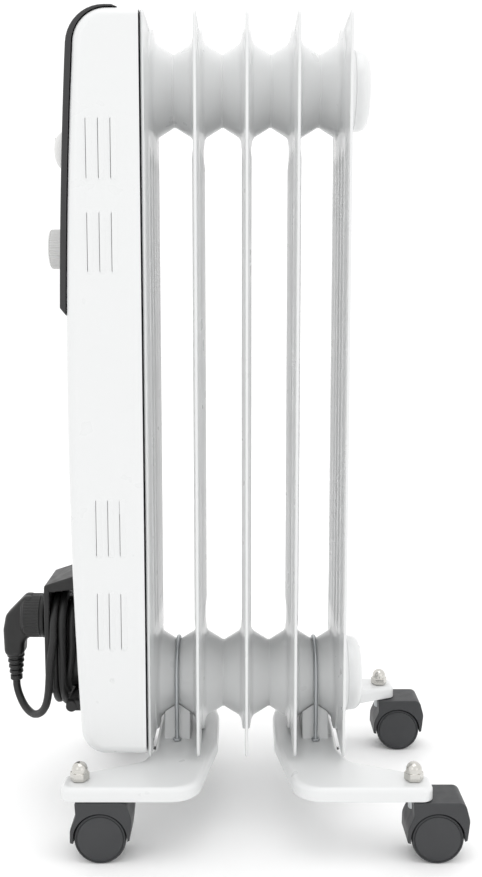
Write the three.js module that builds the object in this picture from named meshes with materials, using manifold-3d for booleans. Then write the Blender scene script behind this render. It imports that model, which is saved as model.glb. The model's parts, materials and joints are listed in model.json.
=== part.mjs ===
// An oil filled radiator heater on four swivelling casters: five pressed steel fins joined at two hubs,
// a control housing at their left end, two stamped feet, and the mains lead wound on its holder.
// Millimetres. X runs along the row of fins, away from the control housing; Y across the fins; Z is up.

import * as THREE from 'three';
import { mergeVertices } from 'three/addons/utils/BufferGeometryUtils.js';
import Module from 'manifold-3d';

const wasm = await Module();
wasm.setup();

// ---- driving dimensions ----

const GAP = 0.3; // left between two pieces that touch
const PAST = 1; // how far a cutter runs past the face that it opens

const FIN_COUNT = 5;
const FIN_PITCH = 39;
const FIN_WIDTH = 150;
const FIN_BOTTOM = 64;
const FIN_TOP = 644;
const FIN_CORNER = 7;
const FIN_RIM = 1.6; // the crimped rim of the two half shells
const FIN_RIM_WIDTH = 7;
const FIN_BODY = 8;
const FIN_BODY_BEVEL = 2;
const FIN_BODY_CORNER = 13;
const LAST_FIN_X = FIN_PITCH * (FIN_COUNT - 1) / 2;

const HUB_FROM_FIN_END = 46;
const HUB_NECK_RADIUS = 28.3;
const HUB_FLARE_RADIUS = 37;
const HUB_BORE_RADIUS = 24.5;
const HUB_END_RADIUS = 31.5;
const HUB_END_REACH = 8.5; // from the last fin's plane to the cap
const HUB_LOWER_Z = FIN_BOTTOM + HUB_FROM_FIN_END;
const HUB_UPPER_Z = FIN_TOP - HUB_FROM_FIN_END;
const HUB_SIDES = 20;

const HOUSING_WIDTH = 160;
const HOUSING_BOTTOM = 69;
const HOUSING_TOP = 644;
const HOUSING_BACK_X = -82.6; // the open side, next to the first fin
const HOUSING_FRONT_X = -138.5; // the foremost line of the bowed front
const HOUSING_BOW_Z = 330;
const HOUSING_BOW_RADIUS = 4800;
const HOUSING_WALL = 1.5;
const HOUSING_EDGE = 8;
const HOUSING_TOP_CORNER = 26;
const HOUSING_BOTTOM_CORNER = 20;

const PLATE_X = [-86.3, -84.8];
const PANEL_THICKNESS = 5;
const PANEL_HALF_WIDTH = 76;
const PANEL_BOTTOM = 424;
const PANEL_BACK_X = -96;

const KNOB_RADIUS = 16.3;
const SELECTOR_Z = 551;
const THERMOSTAT_Z = 472;
const SPINDLE_RADIUS = 4;

const CORD_DIAMETER = 6.5;
const CORD_RADIUS = CORD_DIAMETER / 2;
const WINDING_Z = 136;
const WINDING_STRAIGHT = 30; // the straight part of each turn's long sides
const WINDING_TURN_RADIUS = 26; // at the middle of the inner layer of cord
const WINDING_LAYERS = 2;
const WINDING_X = [-163.7, -150.7];
const FIRST_TURN_X = -145.6;

const HOLDER_FRONT_X = -169;
const HOLDER_FLANGE = 5;
const HOLDER_HALF_WIDTH = 30;

const PLUG_Z = 161;
const PLUG_RADIUS = 19;
const PLUG_FACE_X = -171.5;
const PLUG_NECK_X = -199.5;
const PLUG_NECK_END_Z = 104;
const PIN_RADIUS = 2.4;
const PIN_LENGTH = 19;
const PIN_SPACING = 19;
const PIN_ROOT = 3.7; // the part of a pin that is held in the plug

const FOOT_TOP = 61;
const FOOT_SHEET = 2;
const FOOT_LIP_BOTTOM = 50;
const U_BOLT_X = 1.5 * FIN_PITCH;
const U_BOLT_ROD = 1.75;
const U_BOLT_RADIUS = HUB_NECK_RADIUS + U_BOLT_ROD + 2 * GAP;
const U_BOLT_END_Z = 44;

const CASTER_X = 129.5;
const CASTER_Y = 105;
const CASTER_TRAIL = 17;
const WHEEL_RADIUS = 20;
const WHEEL_WIDTH = 12;
const WHEEL_SIDES = 16;
const HOOD_RADIUS = 22.5;
const HOOD_TOP = FOOT_LIP_BOTTOM - 2 * GAP;
const HOOD_WEB = 8;
const WHEEL_CLEARANCE = 1;
const AXLE_RADIUS = 3;
const STEM_RADIUS = 4;

// ---- materials ----

function finish(color, roughness, metalness = 0) {
  return new THREE.MeshStandardMaterial({ color, roughness, metalness });
}

const whitePaint = finish(0xdedfdf, 0.3);
const anthracite = finish(0x2d2d2e, 0.45);
const greyKnob = finish(0xbcbcbc, 0.4);
const blackPlastic = finish(0x161616, 0.5);
const casterPlastic = finish(0x35363a, 0.55);
const zinc = finish(0xb9bcbe, 0.3, 1);
const copperTube = finish(0x8c8580, 0.45, 1);
const brass = finish(0xb08d4a, 0.35, 1);
const cordSheath = finish(0x1a1a1a, 0.6);
const insulator = finish(0xe6e0d2, 0.6);

// ---- shape helpers ----

// A closed outline through corners [x, y, radius], each rounded by an arc of that radius.
function outline(corners, arcSteps = 4) {
  const points = [];
  corners.forEach(([x, y, radius], i) => {
    const corner = new THREE.Vector2(x, y);
    const before = corners.at(i - 1);
    const after = corners[(i + 1) % corners.length];
    const back = new THREE.Vector2(before[0] - x, before[1] - y).normalize();
    const on = new THREE.Vector2(after[0] - x, after[1] - y).normalize();
    const half = Math.acos(back.dot(on)) / 2;
    const bisector = back.clone().add(on).normalize();
    const centre = corner.clone().addScaledVector(bisector, radius / Math.sin(half));
    const start = corner.clone().addScaledVector(back, radius / Math.tan(half)).sub(centre);
    const turn = Math.sign(on.cross(back)) * (Math.PI - 2 * half);
    const steps = radius > 0 ? arcSteps : 0;
    for (let step = 0; step <= steps; step++) {
      const arm = start.clone().rotateAround(new THREE.Vector2(), steps ? turn * step / steps : 0);
      points.push(centre.clone().add(arm));
    }
  });
  return new THREE.Shape(points);
}

function rectangle(left, right, bottom, top, radius, arcSteps) {
  return outline([
    [left, bottom, radius], [right, bottom, radius], [right, top, radius], [left, top, radius],
  ], arcSteps);
}

// An upright racetrack about (0, z), with half round ends.
function racetrack(radius, straight, z, arcSteps = 8) {
  const points = [];
  for (const [side, from] of [[1, 0], [-1, Math.PI]]) {
    for (let step = 0; step <= arcSteps; step++) {
      const angle = from + Math.PI * step / arcSteps;
      const centre = z + side * straight / 2;
      points.push(new THREE.Vector2(radius * Math.cos(angle), centre + radius * Math.sin(angle)));
    }
  }
  return new THREE.Shape(points);
}

function extrude(shape, from, to, bevel = 0) {
  const geometry = new THREE.ExtrudeGeometry(shape, {
    depth: to - from - 2 * bevel,
    bevelEnabled: bevel > 0,
    bevelThickness: bevel,
    bevelSize: bevel,
    bevelOffset: -bevel,
    bevelSegments: bevel > 4 ? 3 : 1,
    curveSegments: 8,
  });
  return geometry.translate(0, 0, from + bevel);
}

const AXIS_X = new THREE.Vector3(1, 0, 0);
const AXIS_Y = new THREE.Vector3(0, 1, 0);
const AXIS_Z = new THREE.Vector3(0, 0, 1);
const FACING_X = new THREE.Matrix4().makeBasis(AXIS_Y, AXIS_Z, AXIS_X);
const FACING_Y = new THREE.Matrix4().makeBasis(AXIS_X, AXIS_Z, AXIS_Y.clone().negate());

// An outline in Y and Z, from one X to another.
function extrudeX(shape, from, to, bevel) {
  return extrude(shape, from, to, bevel).applyMatrix4(FACING_X);
}

// An outline in X and Z, of a width that is centred on Y = 0.
function extrudeY(shape, width, bevel) {
  return extrude(shape, -width / 2, width / 2, bevel).applyMatrix4(FACING_Y);
}

function block(x, y, z) {
  const box = new THREE.BoxGeometry(x[1] - x[0], y[1] - y[0], z[1] - z[0]);
  return box.translate((x[0] + x[1]) / 2, (y[0] + y[1]) / 2, (z[0] + z[1]) / 2);
}

// A turned piece from a profile of [radius, distance along the axis].
function turned(profile, sides) {
  return new THREE.LatheGeometry(profile.map(([r, along]) => new THREE.Vector2(r, along)), sides);
}

function turnedX(profile, sides) {
  return turned(profile, sides).rotateZ(-Math.PI / 2);
}

function turnedZ(profile, sides) {
  return turned(profile, sides).rotateX(Math.PI / 2);
}

function rod(radius, from, to) {
  return [[0, from], [radius, from], [radius, to], [0, to]];
}

function solid(geometry) {
  const bare = geometry.clone();
  bare.deleteAttribute('normal');
  bare.deleteAttribute('uv');
  const merged = mergeVertices(bare, 1e-4);
  return new wasm.Manifold(new wasm.Mesh({
    numProp: 3,
    vertProperties: merged.attributes.position.array,
    triVerts: Uint32Array.from(merged.index.array),
  }));
}

function geometryOf(manifold) {
  const { vertProperties, triVerts } = manifold.getMesh();
  const geometry = new THREE.BufferGeometry();
  geometry.setAttribute('position', new THREE.BufferAttribute(vertProperties, 3));
  geometry.setIndex(new THREE.BufferAttribute(triVerts, 1));
  return geometry;
}

function joined(pieces) {
  return geometryOf(pieces.map(solid).reduce((all, piece) => all.add(piece)));
}

function cut(geometry, cutters) {
  return geometryOf(cutters.map(solid).reduce((left, cutter) => left.subtract(cutter), solid(geometry)));
}

// A round rod bent into a U: down one leg, round a half circle and up the other.
class Hairpin extends THREE.Curve {
  constructor(radius, leg) {
    super();
    this.radius = radius;
    this.leg = leg;
  }

  getPoint(t, target = new THREE.Vector3()) {
    const bend = Math.PI * this.radius;
    const along = t * (2 * this.leg + bend);
    if (along < this.leg) return target.set(-this.radius, along, 0);
    if (along > this.leg + bend) return target.set(this.radius, 2 * this.leg + bend - along, 0);
    const angle = Math.PI - (along - this.leg) / this.radius;
    return target.set(this.radius * Math.cos(angle), this.leg + this.radius * Math.sin(angle), 0);
  }
}

function circle(radius, sides) {
  const points = Array.from({ length: sides }, (_, i) => {
    const angle = 2 * Math.PI * i / sides;
    return new THREE.Vector2(radius * Math.cos(angle), radius * Math.sin(angle));
  });
  return new THREE.Shape(points);
}

function tube(path, radius, steps, sides = 8) {
  return new THREE.ExtrudeGeometry(circle(radius, sides), { extrudePath: path, steps });
}

const heater = new THREE.Group();

function place(name, geometry, material, parent = heater) {
  const mesh = new THREE.Mesh(geometry, material);
  mesh.name = name;
  parent.add(mesh);
  return mesh;
}

// ---- fins and hubs ----

// A collar on each side of the fin, tapering to where it is welded to the next one.
function hubCollars(z, left, right) {
  const half = FIN_BODY / 2;
  return turnedX([
    [0, -left.reach], [left.radius, -left.reach], [HUB_FLARE_RADIUS, -half],
    [HUB_FLARE_RADIUS, half], [right.radius, right.reach], [0, right.reach],
  ], HUB_SIDES).translate(0, 0, z);
}

function fin(left, right, upperBoreFrom) {
  const halfWidth = FIN_WIDTH / 2;
  const inset = FIN_RIM_WIDTH;
  const rim = rectangle(-halfWidth, halfWidth, FIN_BOTTOM, FIN_TOP, FIN_CORNER);
  const body = rectangle(
    inset - halfWidth, halfWidth - inset, FIN_BOTTOM + inset, FIN_TOP - inset, FIN_BODY_CORNER,
  );
  const blank = joined([
    extrudeX(rim, -FIN_RIM / 2, FIN_RIM / 2),
    extrudeX(body, -FIN_BODY / 2, FIN_BODY / 2, FIN_BODY_BEVEL),
    hubCollars(HUB_LOWER_Z, left, right),
    hubCollars(HUB_UPPER_Z, left, right),
  ]);
  const bore = (from, z) => turnedX(rod(HUB_BORE_RADIUS, from, FIN_PITCH), HUB_SIDES).translate(0, 0, z);
  return cut(blank, [bore(-FIN_PITCH, HUB_LOWER_Z), bore(upperBoreFrom, HUB_UPPER_Z)]);
}

const WELD = { radius: HUB_NECK_RADIUS, reach: (FIN_PITCH - GAP) / 2 };
const HOUSING_END = { radius: HUB_END_RADIUS, reach: -LAST_FIN_X - PLATE_X[1] - GAP };
const CAP_END = { radius: HUB_END_RADIUS, reach: HUB_END_REACH };

for (let i = 0; i < FIN_COUNT; i++) {
  const isFirst = i === 0;
  const isLast = i === FIN_COUNT - 1;
  const shape = fin(isFirst ? HOUSING_END : WELD, isLast ? CAP_END : WELD, isFirst ? 0 : -FIN_PITCH);
  place(`fin_${i + 1}`, shape, whitePaint).position.x = i * FIN_PITCH - LAST_FIN_X;
}

function hubCap() {
  const spigot = HUB_BORE_RADIUS - GAP;
  return turnedX([
    [0, -4], [spigot, -4], [spigot, 0], [HUB_END_RADIUS, 0], [HUB_END_RADIUS - 0.5, 4],
    [27.5, 8.5], [21, 11.2], [11, 12.2], [0, 12.4],
  ], HUB_SIDES);
}

for (const [level, z] of [['upper', HUB_UPPER_Z], ['lower', HUB_LOWER_Z]]) {
  place(`hub_cap_${level}`, hubCap(), whitePaint).position.set(LAST_FIN_X + HUB_END_REACH + GAP, 0, z);
}

// ---- heating elements in the lower hub ----

const ELEMENT_RADIUS = 3.75;
const ELEMENT_BEND = 9; // also half the distance between the two elements
const ELEMENT_LEG = 160;
const TERMINAL_END_X = -104;
const ELEMENT_FLANGE_X = [-95, PLATE_X[0] - GAP];
const ELEMENT_SPIGOT_END_X = -76;

for (const [power, y] of [['low', -ELEMENT_BEND], ['high', ELEMENT_BEND]]) {
  const hairpin = tube(new Hairpin(ELEMENT_BEND, ELEMENT_LEG), ELEMENT_RADIUS, 24, 6);
  const element = place(`heating_element_${power}`, hairpin, copperTube);
  element.rotation.set(Math.PI / 2, 0, -Math.PI / 2);
  element.position.set(TERMINAL_END_X, y, HUB_LOWER_Z);
}

function elementFlange() {
  const [front, back] = ELEMENT_FLANGE_X;
  const spigot = HUB_BORE_RADIUS - GAP;
  const blank = turnedX([
    [0, front], [30, front], [30, back], [spigot, back],
    [spigot, ELEMENT_SPIGOT_END_X], [0, ELEMENT_SPIGOT_END_X],
  ], HUB_SIDES);
  const holes = [];
  for (const y of [-ELEMENT_BEND, ELEMENT_BEND]) {
    for (const z of [-ELEMENT_BEND, ELEMENT_BEND]) {
      const profile = rod(ELEMENT_RADIUS + 2 * GAP, front - PAST, ELEMENT_SPIGOT_END_X + PAST);
      holes.push(turnedX(profile, 12).translate(0, y, z));
    }
  }
  return cut(blank, holes);
}

place('element_flange', elementFlange(), brass).position.z = HUB_LOWER_Z;

// ---- control housing ----

function housingFrontX(z) {
  return HOUSING_FRONT_X + (z - HOUSING_BOW_Z) ** 2 / (2 * HOUSING_BOW_RADIUS);
}

// The side view of the housing, larger all round by grow, from its front to the plane X = backX.
function housingOutline(grow, backX) {
  const bottom = HOUSING_BOTTOM - grow;
  const top = HOUSING_TOP + grow;
  const bowSteps = [0.25, 0.5, 0.75];
  const front = bowSteps.map((share) => {
    const z = top + share * (bottom - top);
    return [housingFrontX(z) - grow, z, 0];
  });
  return outline([
    [backX, bottom, 0], [backX, top, 0],
    [housingFrontX(top) - grow, top, HOUSING_TOP_CORNER + grow],
    ...front,
    [housingFrontX(bottom) - grow, bottom, HOUSING_BOTTOM_CORNER + grow],
  ]);
}

function housingBlank(grow, backX) {
  const width = HOUSING_WIDTH + 2 * grow;
  const rounded = extrudeY(housingOutline(grow, FIN_PITCH), width, HOUSING_EDGE + grow);
  const beyond = block([backX, 2 * FIN_PITCH], [-width, width], [0, FIN_TOP + FIN_BOTTOM]);
  return cut(rounded, [beyond]);
}

const SLOT_WIDTH = 4;
const SLOT_PITCH = 9.2;
const SLOT_GROUPS = [
  { x: -109, z: [519, 565] }, { x: -109, z: [450, 496] },
  { x: -106, z: [231, 277] }, { x: -106, z: [156, 203] },
];

function ventSlots() {
  return SLOT_GROUPS.flatMap(({ x, z }) => [-1, 0, 1].map((column) => {
    const middle = x + column * SLOT_PITCH;
    const halfWidth = HOUSING_WIDTH / 2 + PAST;
    return block([middle - SLOT_WIDTH / 2, middle + SLOT_WIDTH / 2], [-halfWidth, halfWidth], z);
  }));
}

function spindleHoles() {
  return [SELECTOR_Z, THERMOSTAT_Z].map((z) => {
    const hole = turnedX(rod(SPINDLE_RADIUS + 1, HOUSING_FRONT_X - 10, HOUSING_FRONT_X + 12), 16);
    return hole.translate(0, 0, z);
  });
}

const GLAND_Y = -37;
const GLAND_Z = WINDING_Z - WINDING_STRAIGHT / 2 - WINDING_TURN_RADIUS;
const GLAND_RADIUS = 5;

function glandHole() {
  const hole = turnedX(rod(GLAND_RADIUS + GAP, HOUSING_FRONT_X - 10, HOUSING_FRONT_X + 25), 12);
  return hole.translate(0, GLAND_Y, GLAND_Z);
}

place('housing_shell', cut(housingBlank(0, HOUSING_BACK_X), [
  housingBlank(-HOUSING_WALL, FIN_PITCH), ...ventSlots(), ...spindleHoles(), glandHole(),
]), whitePaint);

function backPlate() {
  const inset = HOUSING_WALL + GAP;
  const halfWidth = HOUSING_WIDTH / 2 - inset;
  const sheet = rectangle(
    -halfWidth, halfWidth, HOUSING_BOTTOM + inset, HOUSING_TOP - inset, HOUSING_EDGE,
  );
  const elementHole = turnedX(rod(HUB_BORE_RADIUS, PLATE_X[0] - PAST, PLATE_X[1] + PAST), HUB_SIDES);
  return cut(extrudeX(sheet, ...PLATE_X), [elementHole.translate(0, 0, HUB_LOWER_Z)]);
}

place('back_plate', backPlate(), zinc);

// The panel is the part of a larger housing shape that lies outside the housing, cut off at its ends.
function controlPanel() {
  const width = 2 * PANEL_HALF_WIDTH;
  const corner = HOUSING_TOP_CORNER - 6;
  const top = HOUSING_TOP + 2;
  const outer = outline([
    [PANEL_BACK_X, HOUSING_TOP + GAP, 0],
    [PANEL_BACK_X - 14, top, 0],
    [housingFrontX(top) - PANEL_THICKNESS - 1, top, corner],
    [housingFrontX(PANEL_BOTTOM + 100) - PANEL_THICKNESS, PANEL_BOTTOM + 100, 0],
    [housingFrontX(PANEL_BOTTOM) - PANEL_THICKNESS, PANEL_BOTTOM, 0],
    [housingFrontX(PANEL_BOTTOM), PANEL_BOTTOM - 6, 0],
    [PANEL_BACK_X, PANEL_BOTTOM - 6, 0],
  ].reverse());
  const inside = extrudeY(housingOutline(GAP, FIN_PITCH), width + 2 * PAST);
  return cut(extrudeY(outer, width, 1.5), [inside, ...spindleHoles()]);
}

place('control_panel', controlPanel(), anthracite);

// Each knob has a moulded spindle that reaches into its switch.
const KNOB_BACK_GAP = 1.2;
const KNOB_SIDES = 24;
const SPINDLE_END_X = -123;

function panelFrontX(z) {
  return housingFrontX(z) - PANEL_THICKNESS - KNOB_BACK_GAP;
}

function knob(front, profile) {
  const spindle = [[SPINDLE_RADIUS, front], [SPINDLE_RADIUS, SPINDLE_END_X], [0, SPINDLE_END_X]];
  return turnedX([...profile, [KNOB_RADIUS, front], ...spindle], KNOB_SIDES);
}

const selectorBack = panelFrontX(SELECTOR_Z);
place('knob_selector', knob(selectorBack, [
  [0, selectorBack - 17], [8, selectorBack - 16], [13, selectorBack - 13],
  [15.7, selectorBack - 8], [KNOB_RADIUS - 0.2, selectorBack - 3],
]), greyKnob).position.z = SELECTOR_Z;

const thermostatBack = panelFrontX(THERMOSTAT_Z);
place('knob_thermostat', knob(thermostatBack, [
  [0, thermostatBack - 19], [14.6, thermostatBack - 19], [16.2, thermostatBack - 17],
]), greyKnob).position.z = THERMOSTAT_Z;

// ---- parts inside the housing ----

const SWITCH_FRONT_X = -128.5;

function switchBody(depth, width, height) {
  const x = [SWITCH_FRONT_X, SWITCH_FRONT_X + depth];
  const body = block(x, [-width / 2, width / 2], [-height / 2, height / 2]);
  const well = turnedX(rod(SPINDLE_RADIUS + GAP, SWITCH_FRONT_X - PAST, SPINDLE_END_X + GAP), 16);
  return cut(body, [well]);
}

place('selector_switch', switchBody(26, 34, 40), insulator).position.z = SELECTOR_Z;
place('thermostat', switchBody(22, 40, 34), zinc).position.z = THERMOSTAT_Z;

const PLATE_FRONT_X = PLATE_X[0] - GAP;
place('terminal_block', block([PLATE_FRONT_X - 18, PLATE_FRONT_X], [-30, 30], [330, 352]), insulator);
place('tip_over_switch', block([PLATE_FRONT_X - 24, PLATE_FRONT_X], [20, 50], [205, 245]), blackPlastic);
place('thermal_cutout', turnedX([
  [0, -9], [5, -9], [5, -5], [9, -5], [9, 0], [0, 0],
], 16), insulator).position.set(PLATE_FRONT_X, 0, 175);

// ---- cord holder, mains lead and plug ----

const HOLDER_BACK_X = -120; // inside the housing, which cuts the holder off at its front
const FLANGE_Z = [105, 194];
const FLANGE_CORNER = 9;
const CANOPY_BACK_Z = 211;

function pinBores(from, to) {
  return [-1, 1].map((side) => {
    const bore = turnedX(rod(PIN_RADIUS + GAP, from, to), 12);
    return bore.translate(0, side * PIN_SPACING / 2, PLUG_Z);
  });
}

function cordHolder() {
  const flangeX = HOLDER_FRONT_X + HOLDER_FLANGE;
  const coreRadius = WINDING_TURN_RADIUS - CORD_RADIUS - GAP;
  const core = extrudeX(racetrack(coreRadius, WINDING_STRAIGHT, WINDING_Z), flangeX - PAST, HOLDER_BACK_X);
  const flangeFace = rectangle(-HOLDER_HALF_WIDTH, HOLDER_HALF_WIDTH, ...FLANGE_Z, FLANGE_CORNER);
  const flange = extrudeX(flangeFace, HOLDER_FRONT_X, flangeX, 1);
  const canopy = extrudeY(outline([
    [HOLDER_FRONT_X, 185, 0], [flangeX, 185, 0], [flangeX, 188, 0], [HOLDER_BACK_X, FLANGE_Z[1], 0],
    [HOLDER_BACK_X, CANOPY_BACK_Z, 0], [HOLDER_FRONT_X, FLANGE_Z[1], 0],
  ]), 2 * (HOLDER_HALF_WIDTH - 2));
  const pinHoles = pinBores(HOLDER_FRONT_X - PAST, PLUG_FACE_X + PIN_LENGTH + PAST);
  return cut(joined([core, flange, canopy]), [housingBlank(GAP, FIN_PITCH), ...pinHoles]);
}

place('cord_holder', cordHolder(), blackPlastic);

// The gland comes out through the housing's front and turns along Y, where the first turn starts.
const GLAND_END_Y = -8;

function gland() {
  const throughWall = turnedX(rod(GLAND_RADIUS, FIRST_TURN_X - 2, -126), 12).translate(0, GLAND_Y, GLAND_Z);
  const sleeve = turned([
    [0, GLAND_Y - GLAND_RADIUS], [4.6, GLAND_Y - GLAND_RADIUS],
    [4.4, GLAND_END_Y - 18], [3.7, GLAND_END_Y], [0, GLAND_END_Y],
  ], 12).translate(FIRST_TURN_X, 0, GLAND_Z);
  return joined([throughWall, sleeve]);
}

place('cord_gland', gland(), blackPlastic);

// The first turn, next to the housing: round the foot of the core, up, over the top and down again.
class FirstTurn extends THREE.Curve {
  getPoint(t, target = new THREE.Vector3()) {
    const r = WINDING_TURN_RADIUS;
    const half = WINDING_STRAIGHT / 2;
    const lead = -GLAND_END_Y - GAP;
    const quarter = Math.PI * r / 2;
    const legs = [lead, quarter, 2 * half, 2 * quarter, half];
    const x = FIRST_TURN_X - 1.1 * t;
    let along = t * legs.reduce((sum, leg) => sum + leg);
    if (along < legs[0]) return target.set(x, along - lead, WINDING_Z - half - r);
    along -= legs[0];
    if (along < legs[1]) {
      return target.set(x, r * Math.sin(along / r), WINDING_Z - half - r * Math.cos(along / r));
    }
    along -= legs[1];
    if (along < legs[2]) return target.set(x, r, WINDING_Z - half + along);
    along -= legs[2];
    if (along < legs[3]) {
      return target.set(x, r * Math.cos(along / r), WINDING_Z + half + r * Math.sin(along / r));
    }
    return target.set(x, -r, WINDING_Z + half - (along - legs[3]));
  }
}

place('cord_first_turn', tube(new FirstTurn(), CORD_RADIUS, 24), cordSheath);

// The other turns, two layers of two, as one oblong ring.
function winding() {
  const inner = WINDING_TURN_RADIUS - CORD_RADIUS;
  const ring = racetrack(inner + WINDING_LAYERS * CORD_DIAMETER, WINDING_STRAIGHT, WINDING_Z);
  ring.holes.push(racetrack(inner, WINDING_STRAIGHT, WINDING_Z));
  return extrudeX(ring, ...WINDING_X);
}

place('cord_winding', winding(), cordSheath);

// The lead leaves the near side of the winding, and loops up into the parked plug.
const LEAD_ROUTE = [
  [-163.6, -39.6, 121], [-164.2, -39.6, 112], [-165.3, -39, 103], [-168, -36, 93.5], [-173.7, -29.6, 85],
  [-182, -20, 80.4], [-190.4, -10.4, 83], [-196.6, -3.2, 90.5], [-199.3, -0.4, 98.5], [-199.5, 0, 103.7],
].map(([x, y, z]) => new THREE.Vector3(x, y, z));

place('cord_lead', tube(new THREE.CatmullRomCurve3(LEAD_ROUTE), CORD_RADIUS, 14), cordSheath);

// The plug is parked in the holder by its pins; its neck turns down at a right angle.
function plugBody() {
  const head = turnedX([
    [0, PLUG_NECK_X - 8], [9, PLUG_NECK_X - 7], [14, PLUG_NECK_X], [16.5, PLUG_NECK_X + 5],
    [PLUG_RADIUS, PLUG_NECK_X + 9], [PLUG_RADIUS, PLUG_FACE_X - 1], [PLUG_RADIUS - 1, PLUG_FACE_X],
    [0, PLUG_FACE_X],
  ], 20).translate(0, 0, PLUG_Z);
  const neck = turnedZ([
    [0, PLUG_NECK_END_Z], [4.6, PLUG_NECK_END_Z], [7.5, 126], [9.5, 128],
    [10, PLUG_Z - 6], [6, PLUG_Z + 3], [0, PLUG_Z + 5],
  ], 16).translate(PLUG_NECK_X, 0, 0);
  return cut(joined([head, neck]), pinBores(PLUG_FACE_X - PIN_ROOT - GAP, PLUG_FACE_X + PAST));
}

place('plug_body', plugBody(), blackPlastic);
[-1, 1].forEach((side, i) => {
  const pin = place(`plug_pin_${i + 1}`, turnedX([
    [0, -PIN_ROOT], [PIN_RADIUS, -PIN_ROOT], [PIN_RADIUS, PIN_LENGTH - 1.5],
    [PIN_RADIUS / 2, PIN_LENGTH], [0, PIN_LENGTH],
  ], 12), zinc);
  pin.position.set(PLUG_FACE_X, side * PIN_SPACING / 2, PLUG_Z);
});

// ---- feet and their clamps ----

const FOOT_HALF_LENGTH = 121;

// The plan of the foot at the +X end: a bar under the last two fins, and two wings out to the casters.
function footPlan(inset) {
  const end = FOOT_HALF_LENGTH - inset;
  const quarter = [
    [76 - inset, 46, 20], [84 - inset, 70 + inset, 12], [143 - inset, 97 + inset, 8],
    [143 - inset, end, 9], [39 + inset, end, 24], [24 + inset, 28, 40],
  ];
  const mirrored = quarter.map(([x, y, radius]) => [x, -y, radius]).reverse();
  return outline([...quarter, ...mirrored], 3);
}

const SADDLE_X = [U_BOLT_X - 11, U_BOLT_X + 11];
const SADDLE_HALF_WIDTH = 27;
const SADDLE_TOP = 90;

function footPlate() {
  const underside = FOOT_TOP - FOOT_SHEET;
  const blank = cut(extrude(footPlan(0), FOOT_LIP_BOTTOM, FOOT_TOP), [
    extrude(footPlan(FOOT_SHEET), FOOT_LIP_BOTTOM - PAST, underside),
  ]);
  const saddle = extrudeX(outline([
    [-SADDLE_HALF_WIDTH, underside, 0], [SADDLE_HALF_WIDTH, underside, 0],
    [SADDLE_HALF_WIDTH - 6, SADDLE_TOP, 3], [6 - SADDLE_HALF_WIDTH, SADDLE_TOP, 3],
  ]), ...SADDLE_X);
  const cradles = [-1, 1].map((side) => {
    return hubCollars(HUB_LOWER_Z, WELD, WELD).translate(U_BOLT_X + side * FIN_PITCH / 2, 0, 0);
  });
  const holes = [];
  for (const side of [-1, 1]) {
    const boltHole = rod(U_BOLT_ROD + GAP, FOOT_LIP_BOTTOM, FOOT_TOP + PAST);
    holes.push(turnedZ(boltHole, 10).translate(U_BOLT_X, side * U_BOLT_RADIUS, 0));
    const stemHole = rod(STEM_RADIUS + GAP, FOOT_LIP_BOTTOM, FOOT_TOP + PAST);
    holes.push(turnedZ(stemHole, 12).translate(CASTER_X, side * CASTER_Y, 0));
  }
  return cut(joined([blank, saddle]), [...cradles, ...holes]);
}

function wingNut() {
  const wing = outline([
    [-3, 0, 0], [3, 0, 0], [13, 9, 1], [8, 13, 1], [2, 6, 0], [-2, 6, 0], [-8, 13, 1], [-13, 9, 1],
  ].map(([x, z, radius]) => [x, -z, radius]).reverse(), 2);
  const hub = turnedZ(rod(5.5, -7, 0), 12);
  const thread = turnedZ(rod(U_BOLT_ROD + GAP, -8, PAST), 10);
  return cut(joined([hub, extrudeY(wing, 3)]), [thread]);
}

let nutCount = 0;
for (const [end, side] of [['left', -1], ['right', 1]]) {
  const foot = new THREE.Group();
  foot.rotation.z = side > 0 ? 0 : Math.PI;
  heater.add(foot);
  place(`foot_${end}`, footPlate(), whitePaint, foot);
  const legLength = HUB_LOWER_Z - U_BOLT_END_Z;
  const rodShape = tube(new Hairpin(U_BOLT_RADIUS, legLength), U_BOLT_ROD, 26);
  const bolt = place(`u_bolt_${end}`, rodShape, zinc, foot);
  bolt.rotation.set(Math.PI / 2, Math.PI / 2, 0);
  bolt.position.set(U_BOLT_X, 0, U_BOLT_END_Z);
  for (const y of [-U_BOLT_RADIUS, U_BOLT_RADIUS]) {
    nutCount += 1;
    const nut = place(`wing_nut_${nutCount}`, wingNut(), zinc, foot);
    nut.position.set(U_BOLT_X, y, FOOT_TOP - FOOT_SHEET - GAP);
  }
}

// ---- casters ----

const STEM_SOCKET_BOTTOM = 38;
const STEM_TOP = FOOT_TOP + 9;
const STEM_SHOULDER_RADIUS = 7;
const NUT_HEX_HEIGHT = 6.5;
const NUT_HEIGHT = 14.2;

function casterStem() {
  const shoulder = [FOOT_LIP_BOTTOM + GAP, FOOT_TOP - FOOT_SHEET - GAP];
  return turnedZ([
    [0, STEM_SOCKET_BOTTOM + GAP], [STEM_RADIUS, STEM_SOCKET_BOTTOM + GAP], [STEM_RADIUS, shoulder[0]],
    [STEM_SHOULDER_RADIUS, shoulder[0]], [STEM_SHOULDER_RADIUS, shoulder[1]],
    [STEM_RADIUS, shoulder[1]], [STEM_RADIUS, STEM_TOP], [0, STEM_TOP],
  ], 12);
}

function domeNut() {
  const bottom = FOOT_TOP + GAP;
  const hexagon = turnedZ(rod(7.5, bottom, bottom + NUT_HEX_HEIGHT), 6);
  const dome = turnedZ([
    [0, bottom], [6.2, bottom], [6.2, bottom + 9], [4.6, bottom + 12.6], [0, bottom + NUT_HEIGHT],
  ], 12);
  const thread = turnedZ(rod(STEM_RADIUS + GAP, bottom - PAST, STEM_TOP + GAP), 12);
  return cut(joined([hexagon, dome]), [thread]);
}

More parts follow.
